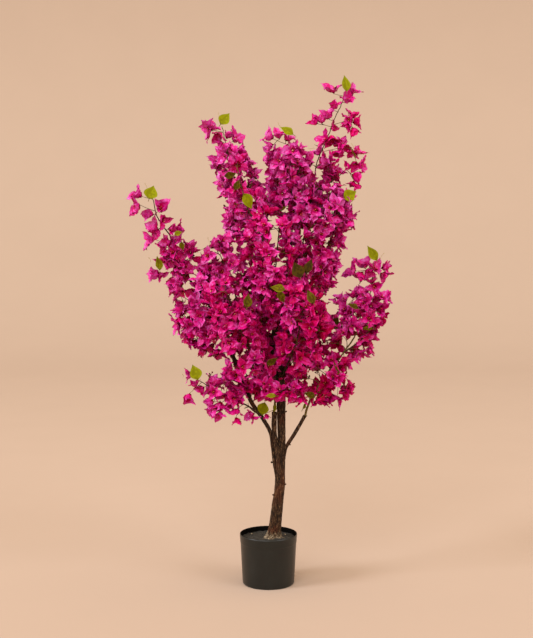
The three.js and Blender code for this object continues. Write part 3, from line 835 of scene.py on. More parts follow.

# ---------------------------------------------------- the outline sprays
# Florets one by one where the outline shows them: picture place of the middle,
# depth, which way it faces in the picture (degrees, 0 right, 90 up), its lean
# towards (-) the front, size.
# The first number of each group is its tone, partly painted light: upper_mid_b, which other sprays shadow, is set
# palest, and the upper groups paler than the low ones.
LONE = {
    "crest": (1.9, [
        (332.3, 87, -4, 100, -.3, 1.2), (353, 89, -6, 60, -.3, 1.0), (347.5, 97.5, -12, 80, -.9, 1.3), (334, 104.5, -6, 80, -.4, 1.0),
        (327, 113.5, -2, 110, -.4, 1.15), (320.3, 118, -6, 105, -.3, 1.1), (313, 120.7, -8, 150, -.2, 1.0), (334.5, 127, 6, 15, -.3, .95),
        (348, 119, -18, 200, -.8, 1.2), (353.5, 113, -10, 75, -.2, 1.05), (357, 121, -12, 10, -.3, 1.0), (347, 127, -8, 240, -.3, .9),
        (354, 131.5, -16, -65, -.3, 1.05), (323, 137.5, -6, 150, -.5, 1.2), (331, 140, -12, 290, -.8, 1.15), (342, 141, 2, 85, -.4, 1.1),
        (338, 146, -8, 200, -.5, .95), (344, 147.5, -14, 300, -.6, 1.05), (334.5, 154.5, -8, 300, -.4, 1.0), (351, 153, -22, 250, -.5, .85),
        (358, 149.5, -22, 50, -.3, 1.15), (317, 151, 0, 120, -.2, .9), (322, 161, -6, 170, -.5, 1.05), (327.5, 165.5, -10, 330, -.6, 1.0)]),
    "crest_side": (2.3, [
        (337, 169, -16, 60, -.5, 1.05), (333, 176, -14, 240, -.6, 1.0), (327, 179, -8, 200, -.4, .95), (354, 165, -30, 260, -.9, 1.0),
        (362.5, 165.5, -28, 0, -.3, 1.1), (357, 176, -20, -20, -.4, 1.25), (352, 184, -14, -110, -.1, .8), (357.5, 187, -16, -60, -.1, .8),
        (336.5, 186, -20, -60, -.3, .9), (347, 166, -24, 180, -.3, .8)]),
    "shoulder": (3.2, [
        (346, 204, -22, 30, -.4, 1.0), (341, 207, -16, 180, -.5, .9), (345, 215, -20, 10, -.7, 1.05), (350, 224.5, -16, 265, -.2, 1.0),
        (341.5, 221, -10, 265, -.3, .95), (335, 195, -14, 60, -.6, 1.0), (337, 209, -22, -30, -.7, 1.05), (338, 243, -12, 20, -.3, 1.05),
        (337, 254, -10, 0, -.2, 1.05), (336, 265, -8, -10, -.2, 1.05), (331, 275, -8, -20, -.2, 1.05), (326, 287, -6, -20, -.2, 1.0)]),
    "upper_left": (3.0, [
        (205, 130, -14, 190, -.3, 1.4), (205.5, 123, -18, 110, -.2, 1.15), (213, 125, -20, 80, -.3, 1.05), (218, 136, -10, 240, -.5, 1.15), (228, 134, -4, 60, -.1, .95),
        (237, 137, -12, 40, -.5, 1.3), (219.5, 143, -6, 190, -.3, .75), (223, 149, -18, 120, -.7, 1.05), (242, 150, -8, 20, -.2, 1.15),
        (233, 153, -22, 200, -.7, 1.05), (219.5, 157, -12, 175, -.3, .95), (222, 167, -10, 185, -.3, .95), (250, 161, -6, 50, -.2, .95),
        (245, 168, -16, 330, -.5, .9), (232, 166, -26, 250, -.8, 1.0), (252, 172, -4, 0, -.2, 1.0), (221, 178, -14, 160, -.4, 1.1),
        (221, 187, -20, 200, -.6, 1.1), (225, 194, -12, 262, -.1, 1.05), (252, 182, 0, 20, .1, .9), (258, 187, -8, 10, -.2, 1.0),
        (234, 206, -22, 215, -.3, 1.1), (229, 178, -30, 220, -.8, 1.0), (240, 184, -28, 300, -.8, .9), (246, 192, -16, 20, -.6, .9),
        (259, 198, -10, 330, -.3, 1.0), (229, 213, -20, 190, -.3, 1.0), (229, 223, -24, 170, -.4, 1.0), (254, 189, -10, 300, -.6, 1.05), (262, 192, -4, 20, -.4, 1.0)]),
    "upper_mid": (3.1, [
        (268, 135.5, -2, 150, -.2, 1.1), (278, 133, 4, 100, -.3, 1.1), (288, 136, 6, 60, -.2, 1.05), (268, 145, -10, 190, -.4, 1.05),
        (266, 154, -6, 185, -.2, 1.05), (275, 154, -20, 240, -.8, 1.05), (270, 162, -4, 230, -.2, .9), (276, 165, -12, 300, -.4, .8),
        (293, 146, 2, 60, -.2, 1.05), (301, 151, 0, 45, -.2, 1.05), (309, 157, -4, 30, -.2, 1.0), (288, 158, -24, 90, -.9, 1.1),
        (298, 160, -26, 60, -.9, 1.1), (306, 166, -20, 20, -.7, 1.0), (273, 171, -8, 150, -.3, 1.1), (270, 182, -4, 190, -.2, 1.1),
        (268, 192, -4, 180, -.3, 1.0), (282, 171, -28, 200, -.9, 1.1), (310, 176, -12, -30, -.4, 1.0)]),
    "left": (2.9, [
        (136, 193.5, -48, 155, -.3, 1.2), (133, 206.5, -54, 195, -.4, 1.4), (147.5, 213, -46, 170, -.3, 1.15), (161.5, 206.5, -40, 50, -.9, 1.35),
        (164.5, 220.5, -44, -20, -.8, 1.15), (152, 225.5, -50, 150, -.5, 1.3), (155, 233, -48, 230, -.5, 1.1), (147, 239, -44, 182, -.3, 1.35),
        (172, 228.5, -36, 0, -.5, 1.0), (180, 228, -26, 20, -.1, .95), (165, 241, -44, 170, -.6, 1.1), (172, 246, -36, 30, -.6, 1.05),
        (161, 249, -36, 200, -.3, 1.05), (167, 256, -40, 200, -.5, 1.0), (172, 262, -44, 270, -.7, 1.0), (180, 259, -40, 30, -.8, 1.1), (177, 270, -36, 300, -.6, 1.0), (187, 266, -30, 20, -.6, 1.05), (183, 276, -24, 280, -.4, .95), (171, 250, -50, 120, -.9, 1.1), (184, 250, -30, 90, -.7, 1.0), (190, 244.5, -16, 80, -.3, 1.15), (191, 252, -12, 0, -.3, 1.05), (152.5, 273.5, -36, 182, -.3, 1.35), (176, 239, -34, 60, -.8, 1.15), (163, 262, -44, 230, -.7, 1.05),
        (161, 275, -30, -30, -.4, .95), (171, 281.5, -18, 255, -.2, 1.05), (174, 293, -14, 175, -.2, 1.05), (178.5, 303.5, -10, 200, -.3, .95),
        (179, 313, -12, 170, -.3, .9), (174.5, 325, -16, 190, -.3, 1.3), (183, 335, -12, 220, -.3, 1.0)]),
    "left_mid": (2.5, [
        (215, 243.5, -58, 130, -.3, 1.15), (209, 254, -60, 175, -.3, 1.0), (222, 240, -52, 110, -.3, 1.0), (230, 233, -40, 110, -.3, 1.0),
        (202, 262, -50, 170, -.3, .95), (205, 266, -66, 200, -.7, 1.0)]),
    "left_low": (2.7, [
        (186, 341, -16, 215, -.3, 1.05), (196, 345, -18, 240, -.3, 1.0), (207, 349, -18, 250, -.3, 1.15), (207, 338, -30, 240, -.8, 1.0), (190, 292, -30, 200, -.8, 1.0), (217, 354.5, -22, 262, -.3, 1.25)]),
    "low_left": (2.3, [
        (227, 364, -40, 160, -.3, 1.0), (227, 372, -44, 180, -.4, 1.0), (226, 381, -46, 200, -.3, .95), (261, 396, -50, 262, -.3, 1.05),
        (253, 391, -56, 255, -.3, 1.0), (246, 387, -60, 230, -.5, 1.05)]),
    "right": (2.9, [
        (363, 262.5, -18, 110, -.4, 1.3), (349.5, 269, -10, 165, -.3, 1.3), (359.5, 276, -14, 230, -.5, 1.2), (368.5, 272, -26, 270, -.8, 1.05),
        (376, 266, -20, 70, -.5, 1.2), (386, 266.5, -12, 15, -.3, 1.15), (384, 276, -16, -40, -.4, 1.15), (365, 288, -20, 80, -.4, 1.05),
        (380, 296, -18, 60, -.3, .95), (376, 299, -26, 30, -.5, 1.0), (380, 309, -20, 0, -.3, 1.05), (379, 320, -22, -10, -.3, 1.05), (366, 297, -30, 120, -.8, 1.05),
        (372, 305, -34, 60, -.9, 1.05), (358, 304, -40, 150, -.8, 1.05), (364, 313, -44, 250, -1.0, 1.1), (350, 311, -40, 120, -.9, 1.05), (372, 319, -40, 320, -.9, 1.0)]),
    "right_arm_b": (2.5, [
        (378.5, 327.5, -28, -35, -.1, .9), (374, 336, -26, 25, -.1, .95), (370.5, 343.5, -26, -10, -.3, 1.0), (369, 350.5, -22, 265, -.3, .95),
        (359, 354.5, -22, 275, -.5, 1.25), (365, 338, -40, 300, -.9, 1.15), (354.5, 360, -18, 250, 0, .7), (348.5, 362.5, -20, -10, -.2, 1.0), (343, 297.5, -16, 90, -.3, 1.05),
        (352, 294, -16, 100, -.2, .9), (337, 300, -14, 120, -.3, 1.0), (357, 291.5, -20, 90, -.3, .95), (343, 308, -36, 150, -.8, 1.05), (345, 321, -50, 240, -1.0, 1.05), (356, 322, -56, 60, -1.0, 1.1)]),
    "right_low": (2.2, [
        (344, 368.5, -24, -25, -.2, .95), (342, 378, -26, -20, -.3, .95), (345, 389, -30, -25, -.5, 1.15), (341.5, 401, -26, -20, -.2, 1.0),
        (333, 398, -30, 290, -.3, 1.05), (318.5, 402, -30, 265, -.2, 1.1), (326, 400, -26, 250, -.3, .9)]),
    "droop": (2.7, [
        (188, 374.5, -72, 182, -.3, .85), (194, 383.5, -66, 110, -.3, .75), (200, 389, -62, 210, -.7, 1.0), (187.5, 398, -74, 250, -.3, 1.1),
        (212, 377.5, -50, 85, -.4, .9), (208, 386.5, -58, 160, -.4, .95), (214, 393, -56, 200, -.7, 1.05),
        (208.5, 402, -60, 215, -.1, 1.0), (211, 408, -54, 250, 0, .7), (219.5, 407, -56, 268, -.3, 1.25), (222, 397, -60, 240, -.9, 1.1),
        (231, 387, -48, 60, -.5, 1.0), (229, 395, -56, 300, -.9, 1.1), (236, 393, -46, 30, -.6, 1.05), (238.5, 402, -44, -40, -.4, 1.05),
        (229, 406, -50, 270, -.4, 1.0), (235.5, 412.5, -52, 250, -.1, 1.0), (236.5, 421, -52, 280, .1, .85), (249, 414.5, -44, 190, -.3, 1.0),
        (254.5, 419, -42, -50, -.1, .75)]),
    "upper_mid_b": (4.2, [
        (308, 190, -20, 60, -.8, 1.05), (315, 196, -24, 120, -.8, 1.05), (325, 196, -20, 60, -.6, 1.0), (318, 205, -30, 250, -1.0, 1.1),
        (300, 183, -30, 120, -.9, 1.1), (287, 196, -34, 200, -1.0, 1.1), (326, 206, -30, 320, -.8, 1.0), (296, 196, -40, 40, -1.0, 1.1)]),
    "upper_left_b": (2.9, [
        (243, 215, -50, 150, -.9, 1.1), (238, 226, -50, 200, -.9, 1.05), (240, 238, -56, 250, -1.0, 1.1), (250, 226, -60, 60, -1.0, 1.1)]),
    "low_front": (2.0, [
        (270, 397, -90, 250, -.5, .8), (278, 396, -98, 250, -.6, 1.0), (285, 395, -102, 290, -.6, 1.1), (292, 397, -98, 275, -.5, 1.05),
        (300, 401, -86, 265, -.3, 1.05), (279, 387, -96, 90, -.7, 1.0), (293, 386, -98, 60, -.7, 1.0), (303, 391, -84, -20, -.5, 1.0)]),
    "mid_plug": (2.2, [(266.5, 416, -20, 290, -.2, .6)]),
}
cane_names = list(CANES)
for cname, (tone, rows) in LONE.items():
    idx = cane_names.index(cname)
    stem = np.vstack([p for p, c in zip(skeleton_p, skeleton_c) if c[0] == idx])
    grown = [stem]
    for (u, v, y, deg, lean, size) in rows:
        mid = seen(u, v, y)
        ax = unit(np.array([math.cos(math.radians(deg)), lean, math.sin(math.radians(deg))]))
        base = mid - ax * 13.0 * size
        G = np.vstack(grown)
        d = base - G
        L = np.linalg.norm(d, axis=1)
        cost = L + 0.9 * np.maximum(0, G[:, 2] - base[2] + 0.35 * L)
        k = int(np.argmin(cost))
        t0 = unit(d[k])
        p = side_stem(G[k], unit(t0 + [0, 0, 0.2]), base - ax * 3, 0.85, 0.6, OLIVE if rng.random() < .6 else BROWN, sag=0.35)
        pedicel(p[-1] - ax, base, ax, size)
        grown.append(p[1:-1])
        f_base.append(base); f_axis.append(ax)
        f_tone_and_light.append(tone + rng.normal(0, 0.3))
        f_size.append(min(1.34, size * rng.uniform(0.97, 1.07)))
n_lone = sum(len(rows) for _, rows in LONE.values())

f_base, f_axis = np.array(f_base), np.array(f_axis)
f_tone_and_light, f_size = np.array(f_tone_and_light), np.array(f_size)
# a floret whose body would stand in a sight gap is left off
body = f_base + f_axis * 13.0
keep = ~in_gap(body, 3.6)
keep[len(keep) - n_lone:] = True
f_base, f_axis, f_tone_and_light, f_size = f_base[keep], f_axis[keep], f_tone_and_light[keep], f_size[keep]
print("florets", len(f_base))

# ----------------------------------------------------- place the florets (arrays)
REGIONS = {
    "bracts_low": [m.name for m in masses if m.name.startswith(("low_", "drooping"))],
    "bracts_middle_left": ["left_mass", "front_left_mass", "left_mid_spray"],
    "bracts_middle_right": ["centre_mass", "right_mass", "front_right_mass"],
    "bracts_back": ["back_left_mass", "back_right_mass", "back_upper_mass"],
    "bracts_sides": ["left_spray", "left_outer_spray", "right_arm_mass", "right_tip_spray"],
    "bracts_top": ["front_upper_mass", "front_top_spray", "back_top_spray", "upper_left_mass", "upper_right_mass", "upper_left_spray", "upper_mid_spray",
                   "right_shoulder_spray", "crest_foot_spray", "crest_spray", "crest_inner_spray", "crest_outer_spray",
                   "crest_side_spray"],
}
region_names = list(REGIONS)
mass_region = {n: k for k, names in enumerate(REGIONS.values()) for n in names}
md = np.stack([m.depth(f_base + f_axis * 12) for m in masses], 1)
f_region = np.array([mass_region[masses[k].name] for k in md.argmax(1)])

n_f = len(f_base)
# painted light and shade: florets that face the lamps are dealt paler shades, and those deep inside the crown darker
# ones
LAMP_SIDE = unit(np.array([-0.40, -0.62, 0.62]))
f_deep = union_depth(f_base + f_axis * 12.0)
f_tone_and_light = f_tone_and_light - 0.1 + 0.95 * (f_axis @ LAMP_SIDE) + 0.8 * (1 - np.clip(f_deep, 0, 64) / 32.0)
variant = rng.integers(0, len(VARIANTS), n_f)
variant[n_f - n_lone:] = rng.choice([0, 5, 9, 11, 1, 7, 10], n_lone)      # the outline florets are half closed
spin = rng.uniform(0, 6.28, n_f)
R = basis(f_axis, spin)
piles = [Pile() for _ in region_names]
centre_pile = Pile()
for vi, (V, Q, face_b, face_s, face_u) in enumerate(VARIANTS):
    for ri in range(len(region_names)):
        sel = np.where((variant == vi) & (f_region == ri))[0]
        if not len(sel):
            continue
        W = np.einsum("nij,vj->nvi", R[sel], V) * f_size[sel, None, None] + f_base[sel, None]
        nq = len(Q)
        quads = (Q[None] + (np.arange(len(sel)) * len(V))[:, None, None]).reshape(-1, 4)
        # shade by spray and painted light, with a darker throat and lighter points
        per_bract = np.clip(f_tone_and_light[sel, None] + rng.normal(0, 0.30, (len(sel), 5)), 0, 4.8)
        # painted light: one half of each bract a step lighter and the other a step darker, as if lit and shaded across
        # its fold
        lit_half = rng.choice([-0.45, 0.0, 0.45], (len(sel), 5))
        tone_and_light = per_bract[:, face_b] + lit_half[:, face_b] * np.sign(face_u)
        # painted sheen: the margins a step lighter; painted shade: the inner lobes, down in the cup, a step darker
        tone_and_light = tone_and_light + np.where(face_s > 0.6, 0.45, 0) + np.where(np.abs(face_u) > 0.8, 0.45, 0.0) - np.where(face_b > 2, 0.35, 0.0)
        tone_and_light = tone_and_light + rng.normal(0, 0.70, tone_and_light.shape)
        idx = np.clip(np.round(tone_and_light), 0, 5).astype(int)
        idx = np.where(face_s < 0.09, THROAT, np.where(face_s < 0.2, np.maximum(idx - 1, 0), idx))
        piles[ri].add(W.reshape(-1, 3), quads, idx.reshape(-1))
for k in range(len(CENTRES)):
    sel = np.where(np.arange(n_f) % len(CENTRES) == k)[0]
    V, Q, M = CENTRES[k]
    W = np.einsum("nij,vj->nvi", R[sel], V) * f_size[sel, None, None] + f_base[sel, None]
    quads = (Q[None] + (np.arange(len(sel)) * len(V))[:, None, None]).reshape(-1, 4)
    centre_pile.add(W.reshape(-1, 3), quads, np.tile(M, len(sel)))

# --------------------------------------------------------------------- leaves
LEAF_S = np.linspace(0, 1, 10)
LEAF_W = np.array([0.03, 0.50, 0.84, 1.0, 0.98, 0.86, 0.66, 0.42, 0.19, 0.015])
LEAF_U = np.array([-1, -0.66, -0.3, 0, 0.3, 0.66, 1.0])
leaves = Pile()


def leaf(base, along, face, length, width, bend=0.25, fold=0.22, tone=0, seed=0):
    """A pointed leaf from its base; `face` is the way its upper side looks."""
    r0 = np.random.default_rng(seed)
    t = unit(along)
    n = unit(face - t * np.dot(face, t))
    side = np.cross(n, t)
    th = bend * LEAF_S * 1.4
    x = np.cumsum(np.r_[0, np.diff(LEAF_S) * np.cos((th[1:] + th[:-1]) / 2)]) * length
    z = -np.cumsum(np.r_[0, np.diff(LEAF_S) * np.sin((th[1:] + th[:-1]) / 2)]) * length
    U = LEAF_U[None, :]
    w = (width / 2 * LEAF_W)[:, None] * U
    h = fold * np.abs(w) + 0.9 * np.sin(LEAF_S[:, None] * 14 + np.abs(U) * 2.2 + r0.uniform(0, 6)) * (np.abs(U) ** 1.5)
    h = h - 0.5 * (np.abs(U) < 0.1)
    P = base + t * x[:, None, None] + side * w[..., None] + n * (z[:, None] + h)[..., None]
    q = grid_quads(len(LEAF_S), len(LEAF_U))
    col = np.tile(np.arange(len(LEAF_U) - 1), len(LEAF_S) - 1)
    row = np.repeat(np.arange(len(LEAF_S) - 1), len(LEAF_U) - 1)
    mat = tone + np.where((col == 0) | (col == 5), 0, 1) * (r0.random(len(col)) < 0.7)
    mat = np.clip(mat + (row == 0), 0, 5)
    leaves.add(P.reshape(-1, 3), q, mat)
    # stalk and midrib
    tube(stems, np.array([base - t * 7, base, base + t * 3 - n * 0.4]), [0.9, 0.8, 0.6], 4, OLIVE)


# picture place of the middle, depth, direction it points (degrees), lean of its
# face sideways, length, width, tone
LEAVES = [
    (150.8, 191.5, -54, 72, 0.0, 42, 40, 0), (224.5, 117.8, -16, 54, -0.1, 45, 35, 0), (286.3, 129.6, -14, 146, 0.2, 45, 24, 0),
    (345.6, 82.3, -34, 94, 0.35, 51, 28, 0), (350, 194.3, -70, 30, 0.1, 44, 38, 0), (248, 201, -178, -58, -0.3, 52, 33, 0),
    (371.8, 252.3, -24, 122, 0.0, 54, 28, 0), (194.8, 371.5, -102, 110, 0.1, 48, 36, 0), (262.3, 409.3, -22, 255, 0.2, 46, 36, 0),
    (297, 269, -170, 110, 0.2, 50, 38, 4), (308.5, 265, -150, 75, -0.4, 46, 26, 4), (277, 287.5, -222, 168, 0.2, 44, 24, 2),
    (281, 297, -222, -75, 0.4, 40, 24, 3), (247.5, 300, -216, 80, 0.3, 42, 26, 3), (310, 296, -222, 118, -0.2, 44, 24, 3),
    (158.5, 262.3, -58, 96, 0.6, 44, 24, 1), (178, 232.5, -54, 30, -0.5, 26, 18, 1), (181.5, 246, -54, 275, 0.3, 28, 17, 2),
    (270, 395, -132, 176, 0.5, 32, 15, 1), (274.5, 406, -22, 80, 0.8, 34, 14, 1), (336.5, 369, -80, 95, 0.8, 56, 17, 3),
    (366, 327.5, -70, 172, 0.9, 40, 15, 2), (309, 394, -90, 150, 0.8, 36, 24, 3), (205.5, 247.3, -66, 180, 1.6, 30, 9, 3),
    (319.5, 147, 2, 130, 1.4, 38, 11, 3), (353.3, 152, -36, 105, 1.4, 42, 9, 2), (230, 174.5, -165, 10, 0.4, 36, 20, 3),
    (237, 184, -168, 60, 0.4, 34, 20, 3), (272, 361, -132, 20, 0.6, 40, 22, 3), (352.5, 305, -80, 150, 0.6, 36, 18, 3), (304.5, 405, -14, 60, 0.9, 26, 12, 1),
]
for k, (u, v, y, deg, lean, ln, wd, tone) in enumerate(LEAVES):
    t = np.array([math.cos(math.radians(deg)), 0.1, math.sin(math.radians(deg))])
    face = np.array([lean * math.sin(math.radians(deg)), -1.0, -lean * math.cos(math.radians(deg)) + 0.15])
    leaf(seen(u, v, y) - unit(t) * ln * 0.5, t, face, ln, wd, 0.3, 0.22, tone, k)
# leaves at the tips of the sprays that face the sides and the back
body_uv_src = f_base + f_axis * 13.0
side_leaves = 0
for ci in rng.permutation(len(centres)):
    c = centres[ci]
    if c[1] < 10 or side_leaves >= 26:
        continue
    out = unit(np.r_[c[:2] - crown_axis, 0.0])
    p = c + out * 34 + [0, 0, 12]
    if union_depth(p[None])[0] > 22:
        continue
    t = unit(out * 0.5 + rng.normal(0, 0.4, 3) + [0, 0, 0.8])
    near = picture(np.array([p, p + t * 26, p + t * 52]))
    front = picture(body_uv_src[body_uv_src[:, 1] < p[1] - 20])
    if min((np.linalg.norm(front - q, axis=1) < 9).sum() for q in near) < 3:
        continue
    leaf(p, t, out + rng.normal(0, 0.35, 3), rng.uniform(40, 52), rng.uniform(28, 38), 0.35, 0.22, int(rng.choice([0, 0, 1, 3])), 900 + int(ci))
    side_stem(c, out, p, 0.9, 0.7, OLIVE)
    side_leaves += 1

# tendrils: thin pale hooks beside the tip leaves
for (u, v, y, du, dv, curl) in [(146.5, 190, -46, -2.5, -7.5, 1), (218.5, 120, -8, -1.0, -8, 1), (281, 127, 6, -3, -5, -1), (348.5, 90, -4, 3.5, -8, -1),
                                (208.5, 246, -64, -1.5, -9, 1), (380, 259, -16, 4, -6.5, -1), (353, 148, -20, -2.5, -5, 1),
                                (246.5, 403, -20, -3, 5, 1), (182.5, 377, -76, -1, -3.5, 1), (308, 148.5, 2, 5, -1, 1), (150, 262, -52, -2, -5, 1)]:
    a, b = seen(u, v, y), seen(u + du, v + dv, y - 3)
    side = np.array([1.0, 0, 0]) * 3.0 * curl
    tube(stems, smooth_path(np.array([a, (a + b) / 2 + side, b, b + side * 0.9 + [0, 0, -1.5]]), 3), [0.6, 0.5, 0.35] if False else 0.45, 4, PALE)

# bare twigs of the low left bough
for rows, r in (([(248.7, 406.4, -18), (246.5, 406.8, -20), (244.4, 407.8, -22)], 1.6), ([(248.7, 406.4, -18), (247.8, 404.4, -16), (247.6, 402.4, -14)], 1.0),
                ([(256.2, 412.4, -12), (252, 409.4, -15), (248.7, 406.4, -18)], 2.6), ([(302.6, 417, -8), (306.8, 415.2, -9)], 1.6)):
    tube(stems, path(*rows), [r, r * 0.85, r * 0.6][:len(rows)], 6, DARK, flat_end=True)

# ---------------------------------------------------------------- pot and fill
RIM_R, POT_H, LIP_H, FILL_TOP = 85.5, 152.0, 26.0, 138.0


def turned(pile, prof, seg, mat):
    prof = np.array(prof, float)
    ang = np.arange(seg) * 2 * math.pi / seg
    v = np.stack([prof[:, :1] * np.cos(ang), prof[:, :1] * np.sin(ang), np.repeat(prof[:, 1:], seg, 1)], -1)
    i = np.arange(len(prof) - 1)[:, None] * seg
    j = np.arange(seg)[None, :]
    k = (j + 1) % seg
    q = np.stack([i + j, i + k, i + seg + k, i + seg + j], -1).reshape(-1, 4)
    pile.add(v.reshape(-1, 3), q, mat if np.ndim(mat) == 0 else np.repeat(mat, seg))


def rounded(points, r, n=4):
    """A profile with each inner corner rounded."""
    pts = [np.array(p, float) for p in points]
    out = [pts[0]]
    for a, b, c in zip(pts, pts[1:], pts[2:]):
        la, lc = np.linalg.norm(a - b), np.linalg.norm(c - b)
        k = min(r, 0.45 * la, 0.45 * lc)
        s, e = b + (a - b) / la * k, b + (c - b) / lc * k
        for t in np.linspace(0, 1, n + 1):
            out.append((1 - t) ** 2 * s + 2 * t * (1 - t) * b + t ** 2 * e)
    out.append(pts[-1])
    return np.array(out)


pot = Pile()
pot_prof = rounded([(0.05, 0), (74.6, 0), (77.2, 5), (80.2, 64), (83.2, POT_H - LIP_H - 1.0), (83.9, POT_H - LIP_H),
                    (85.4, POT_H - 3.0), (84.6, POT_H), (82.4, POT_H - 0.2), (81.6, POT_H - 4), (80.9, 120), (79.8, 100), (74, 96)], 1.6)
# the faces from the rim's top inwards take the painted-shade plastic
edge = int(np.argmax(pot_prof[:, 1] >= POT_H - 0.3))
pot_shaded_faces = np.arange(len(pot_prof) - 1) > edge - 1
turned(pot, pot_prof, 160, pot_shaded_faces.astype(int))
fill = Pile()
rr = np.linspace(0, 1, 26) ** 0.9
ang = np.arange(96) * 2 * math.pi / 96
A, Rr = np.meshgrid(ang, rr)
x, y = Rr * np.cos(A) * 81.2, Rr * np.sin(A) * 81.2
hh = 0.9 * np.sin(x / 9 + 1) * np.cos(y / 7) + 0.6 * np.sin(x / 4.1 + y / 5.3) + 0.4 * np.sin(x / 2.3 - y / 2.9 + 2)
dist = np.hypot(x - 15, y + 2)
hh += 4.0 * np.exp(-(dist / 34) ** 2)
v = np.stack([x, y, FILL_TOP + hh - 0.6], -1)
n = len(ang)
i = np.arange(len(rr) - 1)[:, None] * n
j = np.arange(n)[None, :]
k = (j + 1) % n
fill.add(v.reshape(-1, 3), np.stack([i + j, i + k, i + n + k, i + n + j], -1).reshape(-1, 4), 0)
# pebbles and crumbs on the fill, the two pale ones near the back wall
for kx, ky, kr, mat in [(-50, 38, 3.0, 1), (50, 30, 2.8, 1), (-32, -20, 2.0, 0), (-18, 30, 2.2, 0), (38, -28, 2.0, 0), (-44, 2, 1.8, 0), (60, 6, 2.0, 0)]:
    r0 = np.random.default_rng(int(abs(kx * 7 + ky)))
    th = np.linspace(0, math.pi, 7)
    prof = np.stack([np.sin(th) * kr + 0.02, -np.cos(th) * kr * 0.8], 1)
    pl = Pile(); turned(pl, prof, 10, mat)
    vv = pl.v[0] * (1 + r0.normal(0, 0.08, pl.v[0].shape)) + [kx, ky, FILL_TOP + kr * 0.5]
    fill.add(vv, pl.f[0], mat)

# the pale cement drawn up round the foot of the stem
cement = Pile()
na, nr = 72, 12
ang = np.arange(na) * 2 * math.pi / na
rows = []
for q in np.linspace(0, 1, nr):
    lob = 1 + 0.16 * np.cos(3 * ang + 1.0) + 0.10 * np.cos(7 * ang) + 0.06 * np.cos(13 * ang + 2)
    rad = (34 - 16 * q) * (lob * (1 - 0.5 * q) + 0.5 * q)
    left = np.clip(-np.cos(ang), 0, 1)
    z = FILL_TOP - 1.0 + (9 + 18 * left ** 2) * q ** 1.5 + 0.8 * np.sin(9 * ang + 6 * q) * q
    rows.append(np.stack([15 + rad * np.cos(ang) * 0.92 - 3 * left * (1 - q), -1 + rad * np.sin(ang) * 0.8, z], -1))
v = np.array(rows)
i = np.arange(nr - 1)[:, None] * na
j = np.arange(na)[None, :]
k = (j + 1) % na
cement.add(v.reshape(-1, 3), np.stack([i + j, i + k, i + na + k, i + na + j], -1).reshape(-1, 4), 0)

# -------------------------------------------------------------- make the pieces
NODES = {
    "trunk_main": ["trunk", "bough_main"], "trunk_left": ["pole_mid_left"], "bough_left": ["bough_left"], "bough_right": ["bough_right"],
    "pole_back": [],
}
for name, pile in wood.items():
    ob = pile.make("wood_" + name, [MAT_BARK])
    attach(ob, "root")
    if NODES[name]:
        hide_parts(*NODES[name])
ob = fork.make("wood_fork", [MAT_BARK]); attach(ob, "root"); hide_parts("trunk")
ob = pot.make("pot_shell", [MAT_POT, MAT_POT_SHADE]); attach(ob, "root"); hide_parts("pot")
ob = fill.make("fill_top", [MAT_FILL, MAT_CEMENT]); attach(ob, "root"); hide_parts("pot_fill")
ob = cement.make("fill_cement", [MAT_CEMENT]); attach(ob, "root")
for rname, pile in zip(region_names, piles):
    print(rname, pile.triangles())
    ob = pile.make(rname, MAT_BRACT)
    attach(ob, "root"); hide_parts(*REGIONS[rname])
print("centres", centre_pile.triangles(), "stems", stems.triangles(), "leaves", leaves.triangles())
ob = centre_pile.make("floret_centres", MAT_CENTRE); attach(ob, "root")
ob = stems.make("twigs", MAT_STEM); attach(ob, "root")
ob = leaves.make("leaves", MAT_LEAF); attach(ob, "root")

# -------------------------------------------------------------- floor and light
# A pale floor that turns up, far behind the tree, into a plain wall.
floor_m, nt, fb = nodes_of("floor_pale")
tc = nt.nodes.new("ShaderNodeTexCoord")
sep = nt.nodes.new("ShaderNodeSeparateXYZ")
nt.links.new(tc.outputs["Object"], sep.inputs[0])


def ranged(sock, lo, hi):
    r = nt.nodes.new("ShaderNodeMapRange")
    r.inputs["From Min"].default_value, r.inputs["From Max"].default_value = lo, hi
    nt.links.new(sock, r.inputs["Value"])
    return r.outputs[0]


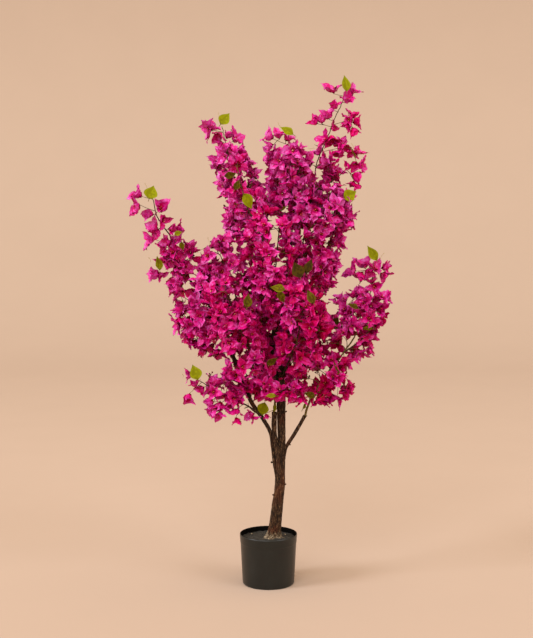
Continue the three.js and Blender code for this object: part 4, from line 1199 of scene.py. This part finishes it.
FLOOR, WALL = (0.47, 0.36, 0.285, 1), (0.375, 0.28, 0.21, 1)
base = ramp(nt, ranged(sep.outputs["Y"], 1.0, 6.5), [(0.0, FLOOR), (1.0, WALL)])
mottle = nt.nodes.new("ShaderNodeTexNoise")
mottle.inputs["Scale"].default_value = 3.0
nt.links.new(tc.outputs["Object"], mottle.inputs["Vector"])
tone = ramp(nt, mottle.outputs[0], [(0.3, (0.985, 0.985, 0.985, 1)), (0.7, (1, 1, 1, 1))])
nt.links.new(mix(nt, 1.0, base, tone, "MULTIPLY"), fb.inputs["Base Color"])
fb.inputs["Roughness"].default_value = 0.95
fb.inputs["Specular IOR Level"].default_value = 0.05
prof = [(-14.0, 0.0), (-4.0, 0.0), (0.0, 0.0), (4.5, 0.0)]
for t in np.linspace(0, math.pi / 2, 13)[1:]:
    prof.append((4.5 + 3.5 * math.sin(t), 3.5 - 3.5 * math.cos(t)))
prof += [(8.0, 5.0), (8.0, 7.5)]
xs = np.linspace(-14, 14, 9)
v = np.array([[(x, y, z) for x in xs] for y, z in prof]).reshape(-1, 3)
q = grid_quads(len(prof), len(xs))[:, ::-1]
floor = mesh_piece("floor", v, q, np.zeros(len(q), int), [floor_m])

world = bpy.data.worlds.new("studio")
bpy.context.scene.world = world
world.use_nodes = True
wb = world.node_tree.nodes["Background"]
wb.inputs[0].default_value = (1.0, 0.79, 0.56, 1)
wb.inputs[1].default_value = 1.15

from mathutils import Vector


def lamp(name, kind, loc, target, energy, colour, size):
    li = bpy.data.lights.new(name, kind)
    li.energy, li.color = energy, colour
    if kind == "SUN":
        li.angle = math.radians(size)
    else:
        li.shape, li.size = "DISK", size
    o = bpy.data.objects.new(name, li)
    o.location = loc
    o.rotation_euler = (Vector(target) - Vector(loc)).to_track_quat("-Z", "Y").to_euler()
    bpy.context.scene.collection.objects.link(o)
    return o


lamp("key", "SUN", (-3.9, -1.75, 2.9), (0, 0, 0.6), 2.05, (0.93, 0.98, 1.08), 20)
lamp("side", "SUN", (3.3, -2.4, 2.8), (0, 0, 0.6), 1.05, (0.93, 0.98, 1.08), 32)
lamp("fill", "SUN", (-1.2, -3.9, 3.3), (0, 0, 0.6), 1.30, (0.93, 0.98, 1.08), 40)

scene = bpy.context.scene
scene.view_settings.view_transform = "Standard"
scene.view_settings.look = "None"

cam_data = bpy.data.cameras.new("camera")
cam = bpy.data.objects.new("camera", cam_data)
scene.collection.objects.link(cam)
cam.location = (CAM_X * MM - 0.0013, -CAM_D * MM, CAM_H * MM)
cam.rotation_euler = (math.pi / 2 - PITCH + math.radians(0.02), 0, 0)
cam_data.sensor_width = 36
cam_data.lens = FOCAL / PIC_H * 36
cam_data.clip_start, cam_data.clip_end = 0.05, 300
scene.camera = cam
